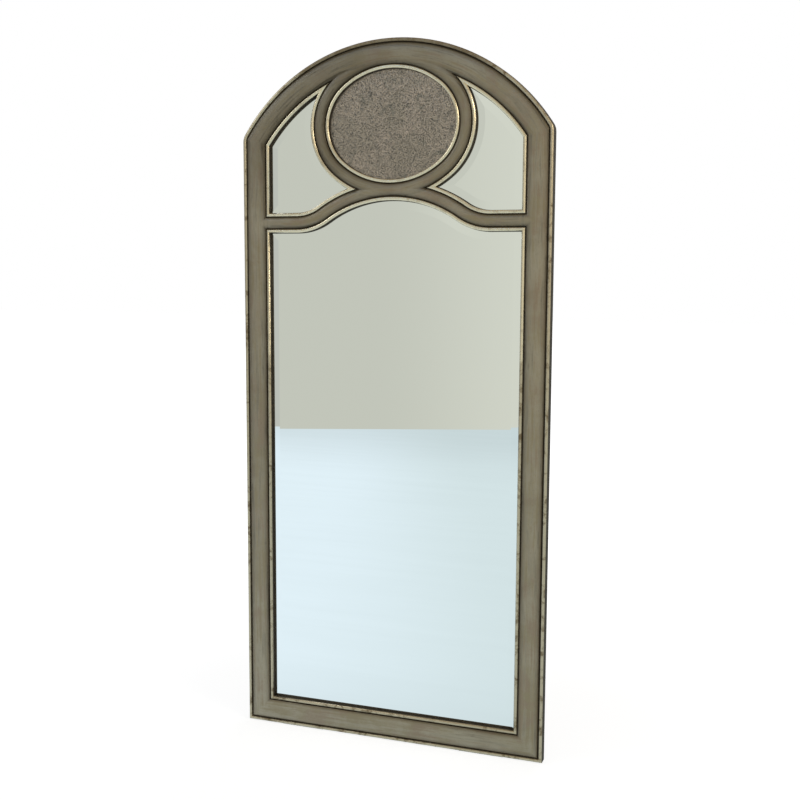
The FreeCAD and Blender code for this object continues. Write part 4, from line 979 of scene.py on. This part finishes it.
class FLOOR_MIRROR_OT_screws(bpy.types.Operator):
    """Turn the screws of the back panel and of the hangers"""

    bl_idname = "floor_mirror.screws"
    bl_label = "Screws"

    def execute(self, context):
        add_screws("panel_screws", PANEL_SCREW)
        add_screws("hanger_screws", HANGER_SCREW, sunk=HANGER_SCREW[-1][1])
        return {"FINISHED"}


class FLOOR_MIRROR_OT_hangers(bpy.types.Operator):
    """Bend the rings and ease the edges of their straps"""

    bl_idname = "floor_mirror.hangers"
    bl_label = "Hangers"

    def execute(self, context):
        ease = settings("mirror_back").sheet_ease
        for side in SIDES:
            add_ring(side)
            add_eased("hanger_strap_" + side, "_eased", ease)
        return {"FINISHED"}


class FLOOR_MIRROR_OT_rests(bpy.types.Operator):
    """Make the felt bumpers and the rubber floor pads"""

    bl_idname = "floor_mirror.rests"
    bl_label = "Bumpers and Pads"

    def execute(self, context):
        add_bumpers("wall_bumpers")
        add_eased("floor_pads", "_eased", settings("mirror_back").pad_ease)
        return {"FINISHED"}


# Studio

FLOOR_SIZE = (60.0, 60.0)
WALL_SIZE = (26.0, 5.0)
FLOOR_GLOW = 1.61           # with the lamps, shows the floor white beside the object's shadow
FAR_GLOW = 0.5              # is added away from the lamps
SHEEN_GLOW = 2.2
LAMP_AIM = (0.0, 0.0, 1.1)
SENSOR = 36.0               # in millimetres
FAR_CLIP = 200.0

# Each lamp's name, size, place, power in watts and tint
LAMPS = (
    ("left_lamp", (1.6, 1.2), (-3.2, -2.4, 3.5), 22.0, (0.84, 0.92, 1.0)),
    ("right_lamp", (1.4, 1.2), (3.4, -1.8, 3.3), 30.0, (1.0, 0.92, 0.75)),
    ("top_lamp", (3.0, 1.2), (0.0, -1.4, 4.2), 3.0, (0.92, 0.97, 1.0)),
    ("back_lamp", (3.0, 2.0), (0.6, 4.0, 2.8), 22.0, (1.0, 1.0, 1.0)),
)


def floor_finish():
    """White to the camera apart from shadows, pale and cool where the mirror shows it."""
    s = settings("mirror_studio")
    material = bpy.data.materials.new("studio_floor")
    f = Nodes(material, "Object")
    x, y = f.axes()[:2]
    away = f.rise((x * x + y * y) ** 0.5, 0.7, 2.6)
    glow = f.glow((1.0, 1.0, 1.0), FLOOR_GLOW + FAR_GLOW * away)
    lit = f.mixed(0.5, f.matt((0.9, 0.9, 0.9)), glow)
    # Painted shade: the floor that the mirror shows grows darker and less blue towards the right
    aside = x * math.cos(s.turn) - y * math.sin(s.turn)
    right = f.rise(aside, -0.5, 0.6)
    far = f.rise(-1.0 * y, 4.0, 6.6)
    near = 1.0 - f.rise(-1.0 * y, 0.0, 0.7)
    cloud = f.noise(0.9, 3.0, 0.5)
    planks = f.noise(1.0, 3.0, 0.6, vector=f.stretched((0.6, 7.0, 1.0)))
    # Painted shade: that floor is darker far off by the wall and near the mirror's foot; clouds and
    # planks vary its tone
    dulled_and_shaded = far * 0.42 + near * 0.22 + cloud * 0.12 + (planks - 0.5) * 0.16
    tone = f.blend(right, tuple(s.floor), tuple(s.floor_right))
    shade = f.blend(dulled_and_shaded.clamped(), tone, tuple(0.72 * c for c in s.floor_right))
    f.by_ray(lit, f.glow(shade), f.matt((0.7, 0.74, 0.77)), "ShaderNodeOutputMaterial")
    return material


def wall_finish():
    """White to the camera; in gloss a warm grey wall, dim far left, bright far right."""
    s = settings("mirror_studio")
    material = bpy.data.materials.new("studio_wall")
    f = Nodes(material, "Object")
    x = f.axes()[0]
    # Painted light: the grey wall grows brighter towards the right
    grey = f.blend(f.rise(x, -2.6, -1.1), tuple(0.94 * c for c in s.wall),
                   tuple(1.09 * c for c in s.wall))
    left = f.blend(f.rise(-1.0 * x, 3.8, 5.0), grey, tuple(s.dim))
    open_side = f.rise(x, -0.4, 1.6)
    wall = f.mixed(open_side, f.glow(left), f.glow(tuple(s.window), s.brightness))
    f.by_ray(f.glow((1.0, 1.0, 1.0)), wall, f.matt((0.62, 0.61, 0.57)),
             "ShaderNodeOutputMaterial")
    return material


def room_light():
    """White to the camera, soft light all round; in gloss a dim left, warm right, cool top."""
    s = settings("mirror_studio")
    world = bpy.data.worlds.new("studio")
    f = Nodes(world, "Generated")
    x, _, z = f.axes()

    def even(shade, strength=1.0):
        """One colour of light."""
        node = f.make("ShaderNodeBackground", sockets={"Color": shade, "Strength": strength})
        return Sock(f.tree, node.outputs[0])

    across = f.mixed(f.rise(x, -0.6, 0.6), even(tuple(s.dim)),
                     even(tuple(s.window), s.brightness))
    above = f.mixed(f.rise(z, 0.25, 0.36), across, even(tuple(s.ceiling)))
    strip = f.rise(z, 0.32, 0.38) * (1.0 - f.rise(z, 0.50, 0.62)) * f.rise(x, -0.62, -0.42)
    strip = strip * (1.0 - f.rise(x, -0.25, 0.05))
    gloss = f.mixed(strip, above, even(tuple(s.sheen), SHEEN_GLOW))
    f.by_ray(even((1.0, 1.0, 1.0)), gloss, even((1.0, 1.0, 1.0), s.ambient),
             "ShaderNodeOutputWorld")
    return world


def add_sheet(name, size, place, finish):
    """A flat sheet of the studio; place stands it up and moves it."""
    bm = bmesh.new()
    bmesh.ops.create_grid(bm, x_segments=1, y_segments=1, size=0.5)
    bmesh.ops.scale(bm, vec=(size[0], size[1], 1.0), verts=bm.verts)
    bmesh.ops.transform(bm, matrix=place, verts=bm.verts)
    obj = add_object(name, bm)
    obj.data.materials.append(finish)


def add_lamp(name, size, spot, power, tint):
    """A soft lamp that looks at the mirror."""
    lamp = bpy.data.lights.new(name, "AREA")
    lamp.shape = "RECTANGLE"
    lamp.size = size[0]
    lamp.size_y = size[1]
    lamp.energy = power
    lamp.color = tint
    obj = bpy.data.objects.new(name, lamp)
    bpy.context.scene.collection.objects.link(obj)
    obj.location = spot
    obj.rotation_euler = (Vector(LAMP_AIM) - Vector(spot)).to_track_quat("-Z", "Y").to_euler()


def add_camera():
    """The camera, at the photograph's place and angle."""
    s = settings("mirror_studio")
    camera = bpy.data.cameras.new("camera")
    camera.sensor_width = SENSOR
    camera.sensor_fit = "HORIZONTAL"
    camera.lens = s.lens
    camera.clip_end = FAR_CLIP
    obj = bpy.data.objects.new("camera", camera)
    bpy.context.scene.collection.objects.link(obj)
    obj.matrix_world = (Matrix.Translation(s.eye) @ Matrix.Rotation(s.turn, 4, "Z")
                        @ Matrix.Rotation(math.pi / 2 - s.tilt, 4, "X")
                        @ Matrix.Rotation(-s.lean, 4, "Z"))
    bpy.context.scene.camera = obj


class FLOOR_MIRROR_OT_studio(bpy.types.Operator):
    """Build the floor, the wall that the mirror faces, the lamps and the camera"""

    bl_idname = "floor_mirror.studio"
    bl_label = "Studio"

    def execute(self, context):
        s = settings("mirror_studio")
        add_sheet("studio_floor", FLOOR_SIZE, Matrix.Identity(4), floor_finish())
        behind = Vector((s.eye[0], -s.eye[1], 0.0))
        ahead = Vector((-math.sin(s.turn), -math.cos(s.turn), 0.0)) * s.wall_distance
        stand = (Matrix.Translation(behind + ahead + Vector((0.0, 0.0, WALL_SIZE[1] / 2)))
                 @ Matrix.Rotation(-s.turn, 4, "Z") @ Matrix.Rotation(math.pi / 2, 4, "X"))
        add_sheet("studio_wall", WALL_SIZE, stand, wall_finish())
        context.scene.world = room_light()
        for name, size, spot, power, tint in LAMPS:
            add_lamp(name, size, spot, power * s.lamp, tint)
        add_camera()
        context.scene.view_settings.view_transform = "Standard"
        return {"FINISHED"}


STEPS = (
    FLOOR_MIRROR_OT_studio,
    FLOOR_MIRROR_OT_members,
    FLOOR_MIRROR_OT_beads,
    FLOOR_MIRROR_OT_panes,
    FLOOR_MIRROR_OT_boards,
    FLOOR_MIRROR_OT_screws,
    FLOOR_MIRROR_OT_hangers,
    FLOOR_MIRROR_OT_rests,
)


class FLOOR_MIRROR_PT_steps(bpy.types.Panel):
    """The mirror's pieces and its studio"""

    bl_label = "Floor Mirror"
    bl_idname = "FLOOR_MIRROR_PT_steps"
    bl_space_type = "VIEW_3D"
    bl_region_type = "UI"
    bl_category = "Floor Mirror"

    def draw(self, context):
        for step in STEPS:
            self.layout.operator(step.bl_idname)
        for place in PLACES:
            group = getattr(context.scene, place)
            box = self.layout.box()
            for key in group.__annotations__:
                box.prop(group, key)


CLASSES = GROUPS + STEPS + (FLOOR_MIRROR_PT_steps,)


def register():
    for cls in CLASSES:
        bpy.utils.register_class(cls)
    for place, group in zip(PLACES, GROUPS):
        setattr(bpy.types.Scene, place, PointerProperty(type=group))


def unregister():
    for place in PLACES:
        delattr(bpy.types.Scene, place)
    for cls in reversed(CLASSES):
        bpy.utils.unregister_class(cls)


def main():
    """Registers the add-on and makes every piece."""
    register()
    for step in STEPS:
        group, name = step.bl_idname.split(".")
        getattr(getattr(bpy.ops, group), name)()


if __name__ == "__main__":
    main()
